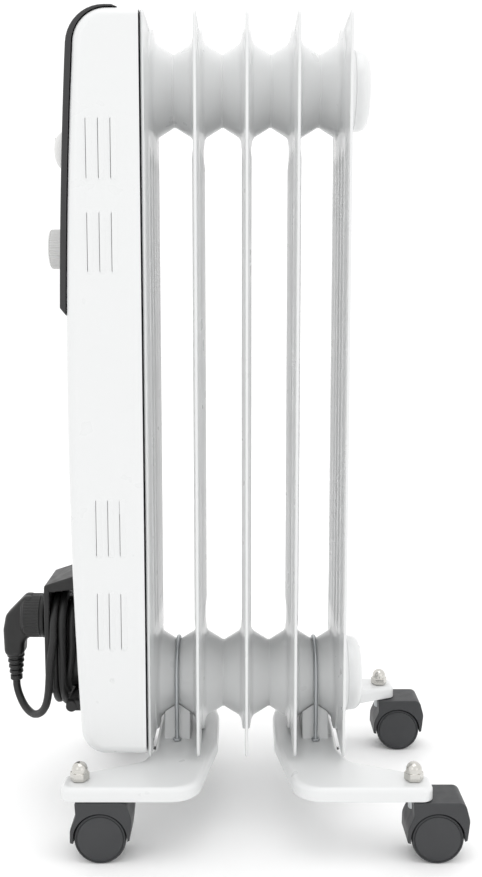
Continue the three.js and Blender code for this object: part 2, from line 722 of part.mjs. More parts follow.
// The hood covers the upper half of both wheels, with a web between them and a boss for the stem.
function casterHood() {
  const width = HOOD_WEB + 2 * (WHEEL_WIDTH + 2 * GAP);
  const halfRound = new THREE.Shape(Array.from({ length: 13 }, (_, i) => {
    const angle = Math.PI * (i * 7 - 3) / 78;
    return new THREE.Vector2(HOOD_RADIUS * Math.cos(angle), HOOD_RADIUS * Math.sin(angle));
  }));
  const fender = extrudeY(halfRound, width).translate(CASTER_TRAIL, 0, WHEEL_RADIUS);
  const roof = block([-3, 38], [-width / 2, width / 2], [WHEEL_RADIUS + 8, HOOD_TOP]);
  const boss = turnedZ(rod(9, 30, HOOD_TOP), 12);
  const wheelSpace = [-1, 1].map((side) => {
    const inner = side * HOOD_WEB / 2;
    const outer = side * width;
    const profile = rod(WHEEL_RADIUS + WHEEL_CLEARANCE, Math.min(inner, outer), Math.max(inner, outer));
    return turned(profile, WHEEL_SIDES).translate(CASTER_TRAIL, 0, WHEEL_RADIUS);
  });
  const socket = turnedZ(rod(STEM_RADIUS + GAP, STEM_SOCKET_BOTTOM, HOOD_TOP + PAST), 12);
  const axleHole = turned(rod(AXLE_RADIUS + GAP, -HOOD_WEB, HOOD_WEB), 12)
    .translate(CASTER_TRAIL, 0, WHEEL_RADIUS);
  const lower = turned(rod(10, -HOOD_WEB / 2, HOOD_WEB / 2), 16).translate(CASTER_TRAIL, 0, WHEEL_RADIUS);
  return cut(joined([fender, roof, boss, lower]), [...wheelSpace, socket, axleHole]);
}

function casterWheel() {
  const half = WHEEL_WIDTH / 2;
  const bore = AXLE_RADIUS + GAP;
  const radius = WHEEL_RADIUS / Math.cos(Math.PI / WHEEL_SIDES);
  return turned([
    [bore, -half], [radius - 2, -half], [radius, 2 - half],
    [radius, half - 2], [radius - 2, half], [bore, half], [bore, -half],
  ], WHEEL_SIDES).rotateY(Math.PI / WHEEL_SIDES);
}

const CASTERS = [
  { name: 'front_left', x: -CASTER_X, y: -CASTER_Y },
  { name: 'front_right', x: CASTER_X, y: -CASTER_Y },
  { name: 'rear_left', x: -CASTER_X, y: CASTER_Y },
  { name: 'rear_right', x: CASTER_X, y: CASTER_Y },
];

for (const { name, x, y } of CASTERS) {
  const caster = new THREE.Group();
  caster.position.set(x, y, 0);
  heater.add(caster);
  place(`caster_stem_${name}`, casterStem(), zinc, caster);
  place(`dome_nut_${name}`, domeNut(), zinc, caster);
  place(`caster_hood_${name}`, casterHood(), casterPlastic, caster);
  const halfAxle = HOOD_WEB / 2 + WHEEL_WIDTH;
  const axleShape = turned(rod(AXLE_RADIUS, -halfAxle, halfAxle), 12);
  const axle = place(`caster_axle_${name}`, axleShape, zinc, caster);
  axle.position.set(CASTER_TRAIL, 0, WHEEL_RADIUS);
  for (const [wheelName, side] of [['a', -1], ['b', 1]]) {
    const wheel = place(`wheel_${name}_${wheelName}`, casterWheel(), casterPlastic, caster);
    const offset = side * ((HOOD_WEB + WHEEL_WIDTH) / 2 + GAP);
    wheel.position.set(CASTER_TRAIL, offset, WHEEL_RADIUS);
  }
}

export default heater;
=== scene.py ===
import json
import math

import bmesh
import bpy
from mathutils import Matrix, Vector


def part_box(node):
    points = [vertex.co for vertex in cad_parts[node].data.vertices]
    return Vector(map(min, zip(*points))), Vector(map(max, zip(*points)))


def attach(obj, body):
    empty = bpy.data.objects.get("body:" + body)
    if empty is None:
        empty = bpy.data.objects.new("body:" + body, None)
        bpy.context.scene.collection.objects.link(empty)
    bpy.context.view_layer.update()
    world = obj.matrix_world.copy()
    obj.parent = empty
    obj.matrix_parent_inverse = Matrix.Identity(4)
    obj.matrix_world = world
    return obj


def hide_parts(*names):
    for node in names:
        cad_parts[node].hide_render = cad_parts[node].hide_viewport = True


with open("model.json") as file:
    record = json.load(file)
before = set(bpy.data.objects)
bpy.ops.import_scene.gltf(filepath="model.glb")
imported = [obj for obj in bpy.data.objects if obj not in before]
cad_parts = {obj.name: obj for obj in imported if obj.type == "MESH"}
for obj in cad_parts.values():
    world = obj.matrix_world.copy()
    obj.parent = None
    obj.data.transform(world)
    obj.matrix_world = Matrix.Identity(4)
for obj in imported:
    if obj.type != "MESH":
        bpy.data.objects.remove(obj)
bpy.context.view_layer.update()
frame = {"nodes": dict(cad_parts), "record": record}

# Every shape below is made in millimetres, in the frame's axes, and becomes metres in piece().
MM = 0.001
BODY_OF = {
    node: body
    for body, nodes in frame["record"]["behaviour"]["bodies"].items()
    for node in nodes
}


def node_box(name):
    """The lowest and highest corner of a CAD node, in millimetres."""
    low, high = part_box(name)
    return low / MM, high / MM


# ---- driving dimensions, in millimetres ----

PAST = 5  # how far a cutter reaches past what it cuts
GAP = 0.3  # clearance between two pieces

FIN_COUNT = 5
fin_low, fin_high = node_box("fin_3")
FIN_HALF_WIDTH = fin_high.y
FIN_BOTTOM = fin_low.z
FIN_TOP = fin_high.z
FIN_CORNER = 7
FIN_PITCH = (node_box("fin_5")[0].x - node_box("fin_2")[0].x) / 3
HUB_FROM_FIN_END = 46
HUB_LOWER_Z = FIN_BOTTOM + HUB_FROM_FIN_END
HUB_UPPER_Z = FIN_TOP - HUB_FROM_FIN_END
HUB_NECK_RADIUS = 28.3
HUB_FLARE_RADIUS = 37.3
HUB_END_RADIUS = 31.5
HUB_BORE_RADIUS = 24.5

house_low, house_high = node_box("housing_shell")
HOUSING_HALF_WIDTH = house_high.y
HOUSING_BOTTOM = house_low.z
HOUSING_TOP = house_high.z
HOUSING_BACK_X = house_high.x + 2.6  # with the folded hem
HOUSING_FRONT_X = -138.5  # the foremost line of the bowed front
HOUSING_BOW_Z = 330
HOUSING_BOW_RADIUS = 4800
HOUSING_WALL = 1.5

panel_low, panel_high = node_box("control_panel")
PANEL_THICKNESS = 5
SELECTOR_Z = sum(v.z for v in node_box("knob_selector")) / 2
THERMOSTAT_Z = sum(v.z for v in node_box("knob_thermostat")) / 2
SPINDLE_RADIUS = 4

CORD_DIAMETER = 6.5
CORD_RADIUS = CORD_DIAMETER / 2
winding_low, winding_high = node_box("cord_winding")
WINDING_Z = (winding_low.z + winding_high.z) / 2
WINDING_STRAIGHT = 30
INNER_TURN_RADIUS = 26
OUTER_TURN_RADIUS = INNER_TURN_RADIUS + CORD_DIAMETER
FIRST_TURN_X = -145.6
GLAND_Z = WINDING_Z - WINDING_STRAIGHT / 2 - INNER_TURN_RADIUS
GLAND_Y = -37
GLAND_END_Y = -8

holder_low, holder_high = node_box("cord_holder")
HOLDER_FRONT_X = holder_low.x
HOLDER_FLANGE = 5
plug_low, plug_high = node_box("plug_body")
PLUG_FACE_X = plug_high.x
PLUG_NECK_X = -199.5
PLUG_Z = 161
PLUG_RADIUS = 19
PIN_RADIUS = 2.4
PIN_SPACING = 19

FOOT_TOP = 61
FOOT_SHEET = 2
FOOT_LIP_BOTTOM = node_box("foot_left")[0].z
U_BOLT_X = 1.5 * FIN_PITCH
U_BOLT_ROD = 1.75
U_BOLT_RADIUS = HUB_NECK_RADIUS + U_BOLT_ROD + 2 * GAP
CASTER_X = 129.5
CASTER_Y = 105
CASTER_TRAIL = 17
WHEEL_RADIUS = 20
WHEEL_WIDTH = 12
HOOD_WEB = 8
HOOD_TOP = node_box("caster_hood_front_left")[1].z
STEM_RADIUS = 4


# ---- materials ----

def linear(value):
    """A colour written as 0xRRGGBB, in scene-linear terms."""
    channels = [(value >> shift & 255) / 255 for shift in (16, 8, 0)]
    return [c / 12.92 if c < 0.04045 else ((c + 0.055) / 1.055) ** 2.4 for c in channels]


def surface(name, colour, roughness, metallic=0, mottle=0.03, patch=30, grain=900, bump=0.1,
            depth=0.1, rough_spread=0.06, coat=0, stretch=(1, 1, 1)):
    """A material with faint blotches of colour, uneven roughness and a fine grain, in object space.

    patch and grain are features per metre, depth is the height of the grain in millimetres."""
    material = bpy.data.materials.new(name)
    material.use_nodes = True
    nodes, links = material.node_tree.nodes, material.node_tree.links
    shader = nodes["Principled BSDF"]
    shader.inputs["Metallic"].default_value = metallic
    shader.inputs["Coat Weight"].default_value = coat
    shader.inputs["Coat Roughness"].default_value = 0.12
    place = nodes.new("ShaderNodeTexCoord")
    mapping = nodes.new("ShaderNodeMapping")
    mapping.inputs["Scale"].default_value = stretch
    links.new(place.outputs["Object"], mapping.inputs["Vector"])

    def noise_field(scale, detail):
        node = nodes.new("ShaderNodeTexNoise")
        node.inputs["Scale"].default_value = scale
        node.inputs["Detail"].default_value = detail
        links.new(mapping.outputs["Vector"], node.inputs["Vector"])
        return node.outputs["Fac"]

    blotches = noise_field(patch, 4)
    base = linear(colour)
    mix = nodes.new("ShaderNodeMix")
    mix.data_type = "RGBA"
    links.new(blotches, mix.inputs["Factor"])
    mix.inputs["A"].default_value = [c * (1 - mottle) for c in base] + [1]
    mix.inputs["B"].default_value = [min(1, c * (1 + mottle)) for c in base] + [1]
    links.new(mix.outputs["Result"], shader.inputs["Base Color"])

    spread = nodes.new("ShaderNodeMapRange")
    spread.inputs["From Min"].default_value = 0.3
    spread.inputs["From Max"].default_value = 0.7
    spread.inputs["To Min"].default_value = roughness - rough_spread
    spread.inputs["To Max"].default_value = roughness + rough_spread
    links.new(noise_field(patch * 4, 3), spread.inputs["Value"])
    links.new(spread.outputs["Result"], shader.inputs["Roughness"])

    relief = nodes.new("ShaderNodeBump")
    relief.inputs["Strength"].default_value = bump
    relief.inputs["Distance"].default_value = depth * MM
    links.new(noise_field(grain, 2), relief.inputs["Height"])
    links.new(relief.outputs["Normal"], shader.inputs["Normal"])
    return material


WHITE = surface("white_enamel", 0xDADBDB, 0.3, mottle=0.006, patch=9, grain=420, bump=0.04,
                depth=0.05, rough_spread=0.03, coat=0.35)
ANTHRACITE = surface("anthracite_moulding", 0x29292A, 0.42, mottle=0.06, grain=2600, bump=0.25)
GREY = surface("grey_moulding", 0xD6D6D5, 0.4, mottle=0.02, grain=2200, bump=0.15)
BLACK = surface("black_moulding", 0x0E0E0E, 0.45, mottle=0.1, grain=2400, bump=0.25)
CASTER = surface("caster_nylon", 0x303133, 0.5, mottle=0.08, grain=1800, bump=0.25)
CORD = surface("cord_sheath_pvc", 0x101010, 0.52, mottle=0.1, patch=60, grain=1500, bump=0.2)
ZINC = surface("zinc_plating", 0xB9BCBE, 0.34, 1, mottle=0.08, patch=140, grain=1300, bump=0.12)
CHROME = surface("nickel_plating", 0xC9C7C2, 0.2, 1, mottle=0.04, patch=200, grain=900, bump=0.05)
TUBE = surface("element_sheath", 0x8C8580, 0.45, 1, mottle=0.15, patch=90, grain=1200, bump=0.2)
BRASS = surface("turned_brass", 0xB08D4A, 0.35, 1, mottle=0.1, stretch=(8, 1, 1), bump=0.15)
CERAMIC = surface("ceramic", 0xE6E0D2, 0.6, mottle=0.05, grain=1500, bump=0.2)
MARKS = surface("white_print", 0xD8D8D6, 0.5, mottle=0.02, grain=3000, bump=0.1)


# ---- shape helpers ----

def rounded(corners, steps=8):
    """A closed outline through corners (a, b, radius), each rounded by an arc."""
    points = []
    for i, (a, b, radius) in enumerate(corners):
        corner = Vector((a, b))
        before = Vector(corners[i - 1][:2]) - corner
        after = Vector(corners[(i + 1) % len(corners)][:2]) - corner
        before.normalize()
        after.normalize()
        half = before.angle(after) / 2
        if radius == 0:
            points.append(corner)
            continue
        reach = radius / math.tan(half)
        centre = corner + (before + after).normalized() * radius / math.sin(half)
        first = (corner + before * reach - centre) / radius
        last = (corner + after * reach - centre) / radius
        turn = math.pi - 2 * half
        for k in range(steps + 1):
            share = k / steps
            mixed = math.sin((1 - share) * turn) * first + math.sin(share * turn) * last
            points.append(centre + mixed * radius / math.sin(turn))
    return points


def rectangle(a0, a1, b0, b1, radius, steps=8):
    return rounded([(a0, b0, radius), (a1, b0, radius), (a1, b1, radius), (a0, b1, radius)], steps)


def racetrack(radius, straight, middle, steps=32):
    """Two half circles, above and below middle, joined by upright straights."""
    points = []
    for k in range(2 * (steps + 1)):
        angle = math.pi * (k % (steps + 1)) / steps + math.pi * (k // (steps + 1))
        rise = straight / 2 if k <= steps else -straight / 2
        points.append(Vector((radius * math.cos(angle), middle + rise + radius * math.sin(angle))))
    return points


def inset(points, distance):
    """The closed outline moved inwards by distance."""
    area = sum(points[i - 1].cross(points[i]) for i in range(len(points)))
    side = 1 if area > 0 else -1
    moved = []
    for i, point in enumerate(points):
        before = (point - points[i - 1]).normalized()
        after = (points[(i + 1) % len(points)] - point).normalized()
        normals = [Vector((-d.y, d.x)) * side for d in (before, after)]
        mitre = (normals[0] + normals[1]) / (1 + normals[0].dot(normals[1]))
        moved.append(point + mitre * distance)
    return moved


AXES = {
    "x": lambda a, b, h: Vector((h, a, b)),
    "y": lambda a, b, h: Vector((a, h, b)),
    "z": lambda a, b, h: Vector((a, b, h)),
}


def stack(bm, rings, closed=False):
    """Joins rings of points into one closed skin, with flat ends unless it closes on itself."""
    loops = [[bm.verts.new(p) for p in ring] for ring in rings]
    pairs = list(zip(loops, loops[1:]))
    if closed:
        pairs.append((loops[-1], loops[0]))
    for lower, upper in pairs:
        for i in range(len(lower)):
            quad = [lower[i - 1], lower[i], upper[i], upper[i - 1]]
            bm.faces.new(quad)
    if not closed:
        bm.faces.new(loops[0])
        bm.faces.new(loops[-1])


def prism(bm, outline, start, end, axis, edge=0, steps=4):
    """The outline pushed along an axis from start to end, its edges rounded."""
    levels = []
    for k in range(steps + 1 if edge else 1):
        angle = math.pi / 2 * k / steps
        levels.append((edge * (1 - math.sin(angle)), edge * (1 - math.cos(angle))))
    way = 1 if end > start else -1
    rings = [(offset, start + way * height) for offset, height in levels]
    rings += [(offset, end - way * height) for offset, height in reversed(levels)]
    to_space = AXES[axis]
    outlines = {offset: inset(outline, offset) if offset else outline for offset, _ in rings}
    stack(bm, [[to_space(p.x, p.y, h) for p in outlines[offset]] for offset, h in rings])


def lathe(bm, profile, axis, centre=(0, 0, 0), steps=64, closed=False, wave=None):
    """Turns a profile of (place on the axis, radius) about an axis through centre.

    wave(h, angle) is added to the radius. A radius of 0 at an end makes a pole."""
    to_space = AXES[axis]
    centre = Vector(centre)
    rings = []
    for h, radius in profile:
        if radius < 1e-6:
            rings.append([bm.verts.new(centre + to_space(0, 0, h))])
            continue
        ring = []
        for k in range(steps):
            angle = 2 * math.pi * k / steps
            r = radius + (wave(h, angle) if wave else 0)
            ring.append(bm.verts.new(centre + to_space(r * math.cos(angle), r * math.sin(angle), h)))
        rings.append(ring)
    pairs = list(zip(rings, rings[1:]))
    if closed:
        pairs.append((rings[-1], rings[0]))
    for one, two in pairs:
        for k in range(steps):
            j = (k + 1) % steps
            if len(one) == 1:
                bm.faces.new([one[0], two[j], two[k]])
            elif len(two) == 1:
                bm.faces.new([one[k], one[j], two[0]])
            else:
                bm.faces.new([one[k], one[j], two[j], two[k]])


def arc_profile(h, r, radius, start, end, steps=8):
    """Points (h, r) on an arc, with its angles in degrees from the axis direction."""
    angles = [math.radians(start + (end - start) * k / steps) for k in range(steps + 1)]
    return [(h + radius * math.cos(t), r + radius * math.sin(t)) for t in angles]


def sweep(bm, points, radii, sides=16):
    """A round rod along points, with a radius at each."""
    side = None
    rings = []
    for i, point in enumerate(points):
        ahead = points[min(i + 1, len(points) - 1)] - points[max(i - 1, 0)]
        ahead.normalize()
        if side is None:
            side = ahead.orthogonal()
        side = (side - ahead * side.dot(ahead)).normalized()
        up = ahead.cross(side)
        turns = [2 * math.pi * k / sides for k in range(sides)]
        rings.append([point + (side * math.cos(t) + up * math.sin(t)) * radii[i] for t in turns])
    stack(bm, rings)


def smoothstep(value, low, high):
    share = min(max((value - low) / (high - low), 0), 1)
    return share * share * (3 - 2 * share)


def moved(bm, offset, turn=0):
    """A copy of bm, turned about Z and then moved."""
    copy = bm.copy()
    bmesh.ops.transform(copy, matrix=Matrix.Translation(offset) @ Matrix.Rotation(turn, 4, "Z"),
                        verts=copy.verts)
    return copy


def loose_object(bm):
    bmesh.ops.recalc_face_normals(bm, faces=bm.faces)
    mesh = bpy.data.meshes.new("working")
    bm.to_mesh(mesh)
    bm.free()
    thing = bpy.data.objects.new("working", mesh)
    bpy.context.scene.collection.objects.link(thing)
    return thing


def combined(bm, other, operation="DIFFERENCE"):
    """bm with other cut away from it, or joined to it. Both are used up."""
    one, two = loose_object(bm), loose_object(other)
    modifier = one.modifiers.new("boolean", "BOOLEAN")
    modifier.operation = operation
    modifier.solver = "EXACT"
    modifier.object = two
    bpy.context.view_layer.update()
    mesh = bpy.data.meshes.new_from_object(one.evaluated_get(bpy.context.evaluated_depsgraph_get()))
    result = bmesh.new()
    result.from_mesh(mesh)
    bmesh.ops.remove_doubles(result, verts=result.verts, dist=0.002)
    for thing in (one, two):
        old = thing.data
        bpy.data.objects.remove(thing)
        bpy.data.meshes.remove(old)
    bpy.data.meshes.remove(mesh)
    return result


def piece(name, bm, material, replaced=(), body="heater", angle=35):
    """Makes bm a finished piece that rides on the body of the node it stands for."""
    if isinstance(replaced, str):
        replaced = (replaced,)
    bmesh.ops.recalc_face_normals(bm, faces=bm.faces)
    bmesh.ops.scale(bm, vec=(MM, MM, MM), verts=bm.verts)
    mesh = bpy.data.meshes.new(name)
    bm.to_mesh(mesh)
    bm.free()
    mesh.materials.append(material)
    mesh.shade_smooth()
    mesh.set_sharp_from_angle(angle=math.radians(angle))
    thing = bpy.data.objects.new(name, mesh)
    bpy.context.scene.collection.objects.link(thing)
    weighted = thing.modifiers.new("weighted", "WEIGHTED_NORMAL")
    weighted.keep_sharp = True
    if replaced:
        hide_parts(*replaced)
        body = BODY_OF[replaced[0]]
    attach(thing, body)
    return thing


# ---- camera ----

CAMERA_PITCH = 7.17  # degrees downwards

camera = bpy.data.objects.new("camera", bpy.data.cameras.new("camera"))
bpy.context.scene.collection.objects.link(camera)
camera.location = (-0.0045, -0.885, 0.4258)
camera.rotation_euler = (math.radians(90 - CAMERA_PITCH), 0, 0)
camera.data.lens = 43.35
camera.data.sensor_width = 36
camera.data.clip_start = 0.02
bpy.context.scene.camera = camera


# ---- mains lead ----

# The middle of the lead from the winding into the plug.
LEAD_ROUTE = [
    (-163.6, -39.6, 121), (-164.2, -39.6, 112), (-165.3, -39, 103), (-168, -36, 93.5),
    (-173.7, -29.6, 85), (-182, -20, 80.4), (-190.4, -10.4, 83), (-196.6, -3.2, 90.5),
    (-199.3, -0.4, 98.5), (-199.5, 0, 103.7),
]
INNER_TURN_X = -153.95
OUTER_TURN_X = INNER_TURN_X - CORD_DIAMETER
STEPS_PER_SEGMENT = 12
LAST_SEGMENT = 29


def stepped(where, *moves):
    """A value that starts at the first of moves, then goes smoothly to others.

    Each other move is (from, to, value), where from and to are places on the winding."""
    value = moves[0]
    for begin, end, target in moves[1:]:
        value += (target - value) * smoothstep(where, begin, end)
    return value


def winding_point(where):
    """A point of the winding. Each turn has six segments: a quarter round the foot of the holder's
    core, the straight on the far side, two quarters over its top, the straight on the near side
    and the last quarter."""
    x = stepped(
        where, FIRST_TURN_X, (0, 4.2, FIRST_TURN_X - 1.1), (4.2, 6.2, INNER_TURN_X),
        (10.2, 12.2, OUTER_TURN_X), (18.8, 20.8, INNER_TURN_X), (24.7, 26.7, OUTER_TURN_X),
        (27.9, 29, LEAD_ROUTE[0][0]),
    )
    radius = stepped(
        where, INNER_TURN_RADIUS, (15.6, 18, OUTER_TURN_RADIUS), (23.2, 25.3, OUTER_TURN_RADIUS + 6.6),
        (25.7, 27.2, OUTER_TURN_RADIUS), (27.4, 28.95, -LEAD_ROUTE[0][1]),
    )
    segment, share = divmod(where, 1)
    half = WINDING_STRAIGHT / 2
    kind = int(segment) % 6
    if kind in (1, 4):
        way = 1 if kind == 1 else -1
        return Vector((x, radius * way, WINDING_Z + way * (2 * share - 1) * half))
    turned = {0: -90, 2: 0, 3: 90, 5: 180}[kind]
    angle = math.radians(turned + 90 * share)
    middle = WINDING_Z + (half if kind in (2, 3) else -half)
    return Vector((x, radius * math.cos(angle), middle + radius * math.sin(angle)))


def smooth_route(points, steps):
    """A centripetal Catmull-Rom curve through the points."""
    points = [Vector(p) for p in points]
    ends = [2 * points[0] - points[1], *points, 2 * points[-1] - points[-2]]
    curve = [points[0]]
    for p0, p1, p2, p3 in zip(ends, ends[1:], ends[2:], ends[3:]):
        t1 = (p1 - p0).length ** 0.5
        t2 = t1 + (p2 - p1).length ** 0.5
        t3 = t2 + (p3 - p2).length ** 0.5
        for k in range(1, steps + 1):
            t = t1 + (t2 - t1) * k / steps
            a1 = p0.lerp(p1, t / t1)
            a2 = p1.lerp(p2, (t - t1) / (t2 - t1))
            a3 = p2.lerp(p3, (t - t2) / (t3 - t2))
            b1 = a1.lerp(a2, t / t2)
            b2 = a2.lerp(a3, (t - t1) / (t3 - t1))
            curve.append(b1.lerp(b2, (t - t1) / (t2 - t1)))
    return curve


def cord_route():
    leaving = [Vector((FIRST_TURN_X, y, GLAND_Z)) for y in (GLAND_END_Y + GAP, -5, -2.5)]
    count = LAST_SEGMENT * STEPS_PER_SEGMENT
    wound = [winding_point(k / STEPS_PER_SEGMENT) for k in range(count)]
    return leaving + wound + smooth_route(LEAD_ROUTE, 4)


def mains_lead():
    route = [p * MM for p in cord_route()]
    curve = bpy.data.curves.new("mains_lead", "CURVE")
    curve.dimensions = "3D"
    curve.bevel_depth = CORD_RADIUS * MM
    curve.bevel_resolution = 5
    curve.use_fill_caps = True
    spline = curve.splines.new("POLY")
    spline.points.add(len(route) - 1)
    for point, place in zip(spline.points, route):
        point.co = (*place, 1)
    spline.use_smooth = True
    curve.materials.append(CORD)
    cord = bpy.data.objects.new("mains_lead", curve)
    bpy.context.scene.collection.objects.link(cord)
    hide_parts("cord_first_turn", "cord_winding", "cord_lead")
    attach(cord, "heater")
    print("cord length", sum((b - a).length for a, b in zip(route, route[1:])))
    return cord


lead = mains_lead()


# The sleeve that comes out of the housing, turns along Y and tapers onto the cord.
def cord_gland():
    bm = bmesh.new()
    low, high = node_box("cord_gland")
    start = low.y
    profile = [(start, 0), (start, 4), (start + 0.6, 4.6)]
    ribs = 7
    length = GLAND_END_Y - start - 4
    for k in range(ribs):
        h = start + 3 + length * k / ribs
        r = 4.7 - 0.9 * k / ribs
        profile += [(h, r), (h + 0.5, r - 0.6), (h + 1.6, r - 0.6), (h + 2.1, r)]
    profile += [(GLAND_END_Y - 0.4, 3.8), (GLAND_END_Y, 3.5), (GLAND_END_Y, 0)]
    lathe(bm, profile, "y", (FIRST_TURN_X, 0, GLAND_Z), 40)
    boss = [(low.x, 0), (low.x, 3.6), (low.x + 1, 4.8), (high.x, 5), (high.x, 0)]
    lathe(bm, boss, "x", (0, GLAND_Y, GLAND_Z), 40)
    return piece("lead_gland", bm, BLACK, "cord_gland")


gland = cord_gland()


# ---- plug ----

FLUTE_COUNT = 44
FLUTE_DEPTH = 0.45
RELIEF_TOP_Z = 132
RELIEF_RIBS = 5

def plug():
    bm = bmesh.new()
    back = rounded([
        (-180, 179.5, 6), (-190, 179.5, 6), (-206, 163, 8), (-208.6, 150, 12), (-207.8, 126, 6),
        (-191.2, 126, 6), (-190.2, 142, 8), (-180, 145, 6),
    ])
    prism(bm, back, -10.5, 10.5, "y", 5, 6)
    core = [(PLUG_FACE_X - 21, 0), (PLUG_FACE_X - 21, 15.5), (PLUG_FACE_X - 19, 17.8),
            (PLUG_FACE_X - 3, 18), (PLUG_FACE_X - 3, 0)]
    lathe(bm, core, "x", (0, 0, PLUG_Z), 64)
    body = loose_object(bm)
    remesh = body.modifiers.new("remesh", "REMESH")
    remesh.mode = "VOXEL"
    remesh.voxel_size = 0.7
    soften = body.modifiers.new("soften", "SMOOTH")
    soften.iterations = 6
    bpy.context.view_layer.update()
    mesh = bpy.data.meshes.new_from_object(body.evaluated_get(bpy.context.evaluated_depsgraph_get()))
    bm = bmesh.new()
    bm.from_mesh(mesh)
    bpy.data.objects.remove(body)

    # The fluted grip and the smooth rim round the face.
    grip_from, grip_to = PLUG_FACE_X - 17.5, PLUG_FACE_X - 4.5

    def flutes(h, angle):
        inside = smoothstep(h, grip_from, grip_from + 1.5) - smoothstep(h, grip_to - 1.5, grip_to)
        return -FLUTE_DEPTH * inside * (0.5 + 0.5 * math.cos(FLUTE_COUNT * angle))

    grip = bmesh.new()
    profile = [(grip_from - 1.6, 14), (grip_from - 1.6, 17.2), (grip_from - 0.6, 18.4)]
    profile += [(grip_from + (grip_to - grip_from) * k / 12, 18.8) for k in range(13)]
    profile += [(grip_to + 0.4, 18.2), (grip_to + 1, 18.2), (grip_to + 1.4, 19),
                (PLUG_FACE_X - 0.8, 19), (PLUG_FACE_X, 18.2), (PLUG_FACE_X, 16.6),
                (PLUG_FACE_X - 6, 14)]
    lathe(grip, profile, "x", (0, 0, PLUG_Z), 8 * FLUTE_COUNT, True, flutes)
    disc = [(PLUG_FACE_X - 5, 0), (PLUG_FACE_X - 5, 15.8), (PLUG_FACE_X - 1, 15.8),
            (PLUG_FACE_X - 0.6, 15.4), (PLUG_FACE_X - 0.6, 0)]
    lathe(grip, disc, "x", (0, 0, PLUG_Z), 64)
    notches = bmesh.new()
    for way in (-1, 1):
        z = PLUG_Z + way * PLUG_RADIUS
        shape = rectangle(-3.5, 3.5, z - 3, z + 3, 0.8)
        prism(notches, shape, PLUG_FACE_X - 12, PLUG_FACE_X + 1, "x")
        notch_pin = rectangle(way * PIN_SPACING / 2 - 2.7, way * PIN_SPACING / 2 + 2.7,
                              PLUG_Z - 2.7, PLUG_Z + 2.7, 2.69)
        prism(notches, notch_pin, PLUG_FACE_X - 4, PLUG_FACE_X + 1, "x")
    grip = combined(grip, notches)
    mesh = bpy.data.meshes.new("grip")
    grip.to_mesh(mesh)
    bm.from_mesh(mesh)

    # The ribbed sleeve that keeps the lead from kinking.
    top, end = RELIEF_TOP_Z, plug_low.z
    relief = [(top, 0), (top, 8.3)]
    for k in range(RELIEF_RIBS):
        h = top - 2.6 - (top - end - 4) * k / RELIEF_RIBS
        r = 8.1 - 2.6 * k / RELIEF_RIBS
        relief += [(h + 0.6, r), (h, r - 0.4), (h - 0.5, r - 1.7), (h - 1.7, r - 1.8), (h - 2.2, r - 0.8)]
    relief += [(end + 2, 5.2), (end + 0.6, 5.2), (end, 4.6), (end, 0)]
    lathe(bm, relief, "z", (PLUG_NECK_X, 0, 0), 40)
    return piece("mains_plug", bm, BLACK, "plug_body", angle=50)


def earth_clips():
    bm = bmesh.new()
    for way in (-1, 1):
        z = PLUG_Z + way * (PLUG_RADIUS - 2.4)
        shape = rounded([(PLUG_FACE_X - 11, z - way * 1.4, 0), (PLUG_FACE_X - 0.6, z - way * 1.4, 0),
                         (PLUG_FACE_X - 0.6, z - way * 0.6, 0.3), (PLUG_FACE_X - 6, z + way * 0.9, 3),
                         (PLUG_FACE_X - 11, z + way * 0.2, 0.3)], 6)
        prism(bm, shape, -2.4, 2.4, "y", 0.2, 2)
    return piece("plug_earth_clips", bm, ZINC)


def plug_pins():
    pins = []
    for i, way in enumerate((-1, 1)):
        name = f"plug_pin_{i + 1}"
        low, high = node_box(name)
        bm = bmesh.new()
        profile = [(low.x, 0), (low.x, PIN_RADIUS), (high.x - 2.2, PIN_RADIUS),
                   *arc_profile(high.x - 2.2, PIN_RADIUS - 2.2, 2.2, 90, 10), (high.x, 0)]
        lathe(bm, profile, "x", (0, way * PIN_SPACING / 2, PLUG_Z), 32)
        pins.append(piece(f"contact_pin_{i + 1}", bm, CHROME, name))
    return pins


plug_pieces = [plug(), earth_clips(), *plug_pins()]


# ---- fins ----

BEAD = 1.2  # half the thickness of the crimped rim
EDGE_STEPS = (0, 0.35, 0.8, 1.5, 2.4, 3, 3.5, 4, 5, 6.5, 8, 10, 12, 14.5, 17, 20)
CHANNEL_PITCH = 25
FIN_OPENING_RADIUS = 28.5  # inside the hubs
CHANNEL_ENDS = (HUB_LOWER_Z + 45, HUB_UPPER_Z - 45)


def distance_to_edge(y, z):
    dy = abs(y) - (FIN_HALF_WIDTH - FIN_CORNER)
    dz = abs(z - (FIN_TOP + FIN_BOTTOM) / 2) - ((FIN_TOP - FIN_BOTTOM) / 2 - FIN_CORNER)
    outside = math.hypot(max(dy, 0), max(dz, 0))
    return FIN_CORNER - outside - min(max(dy, dz), 0)


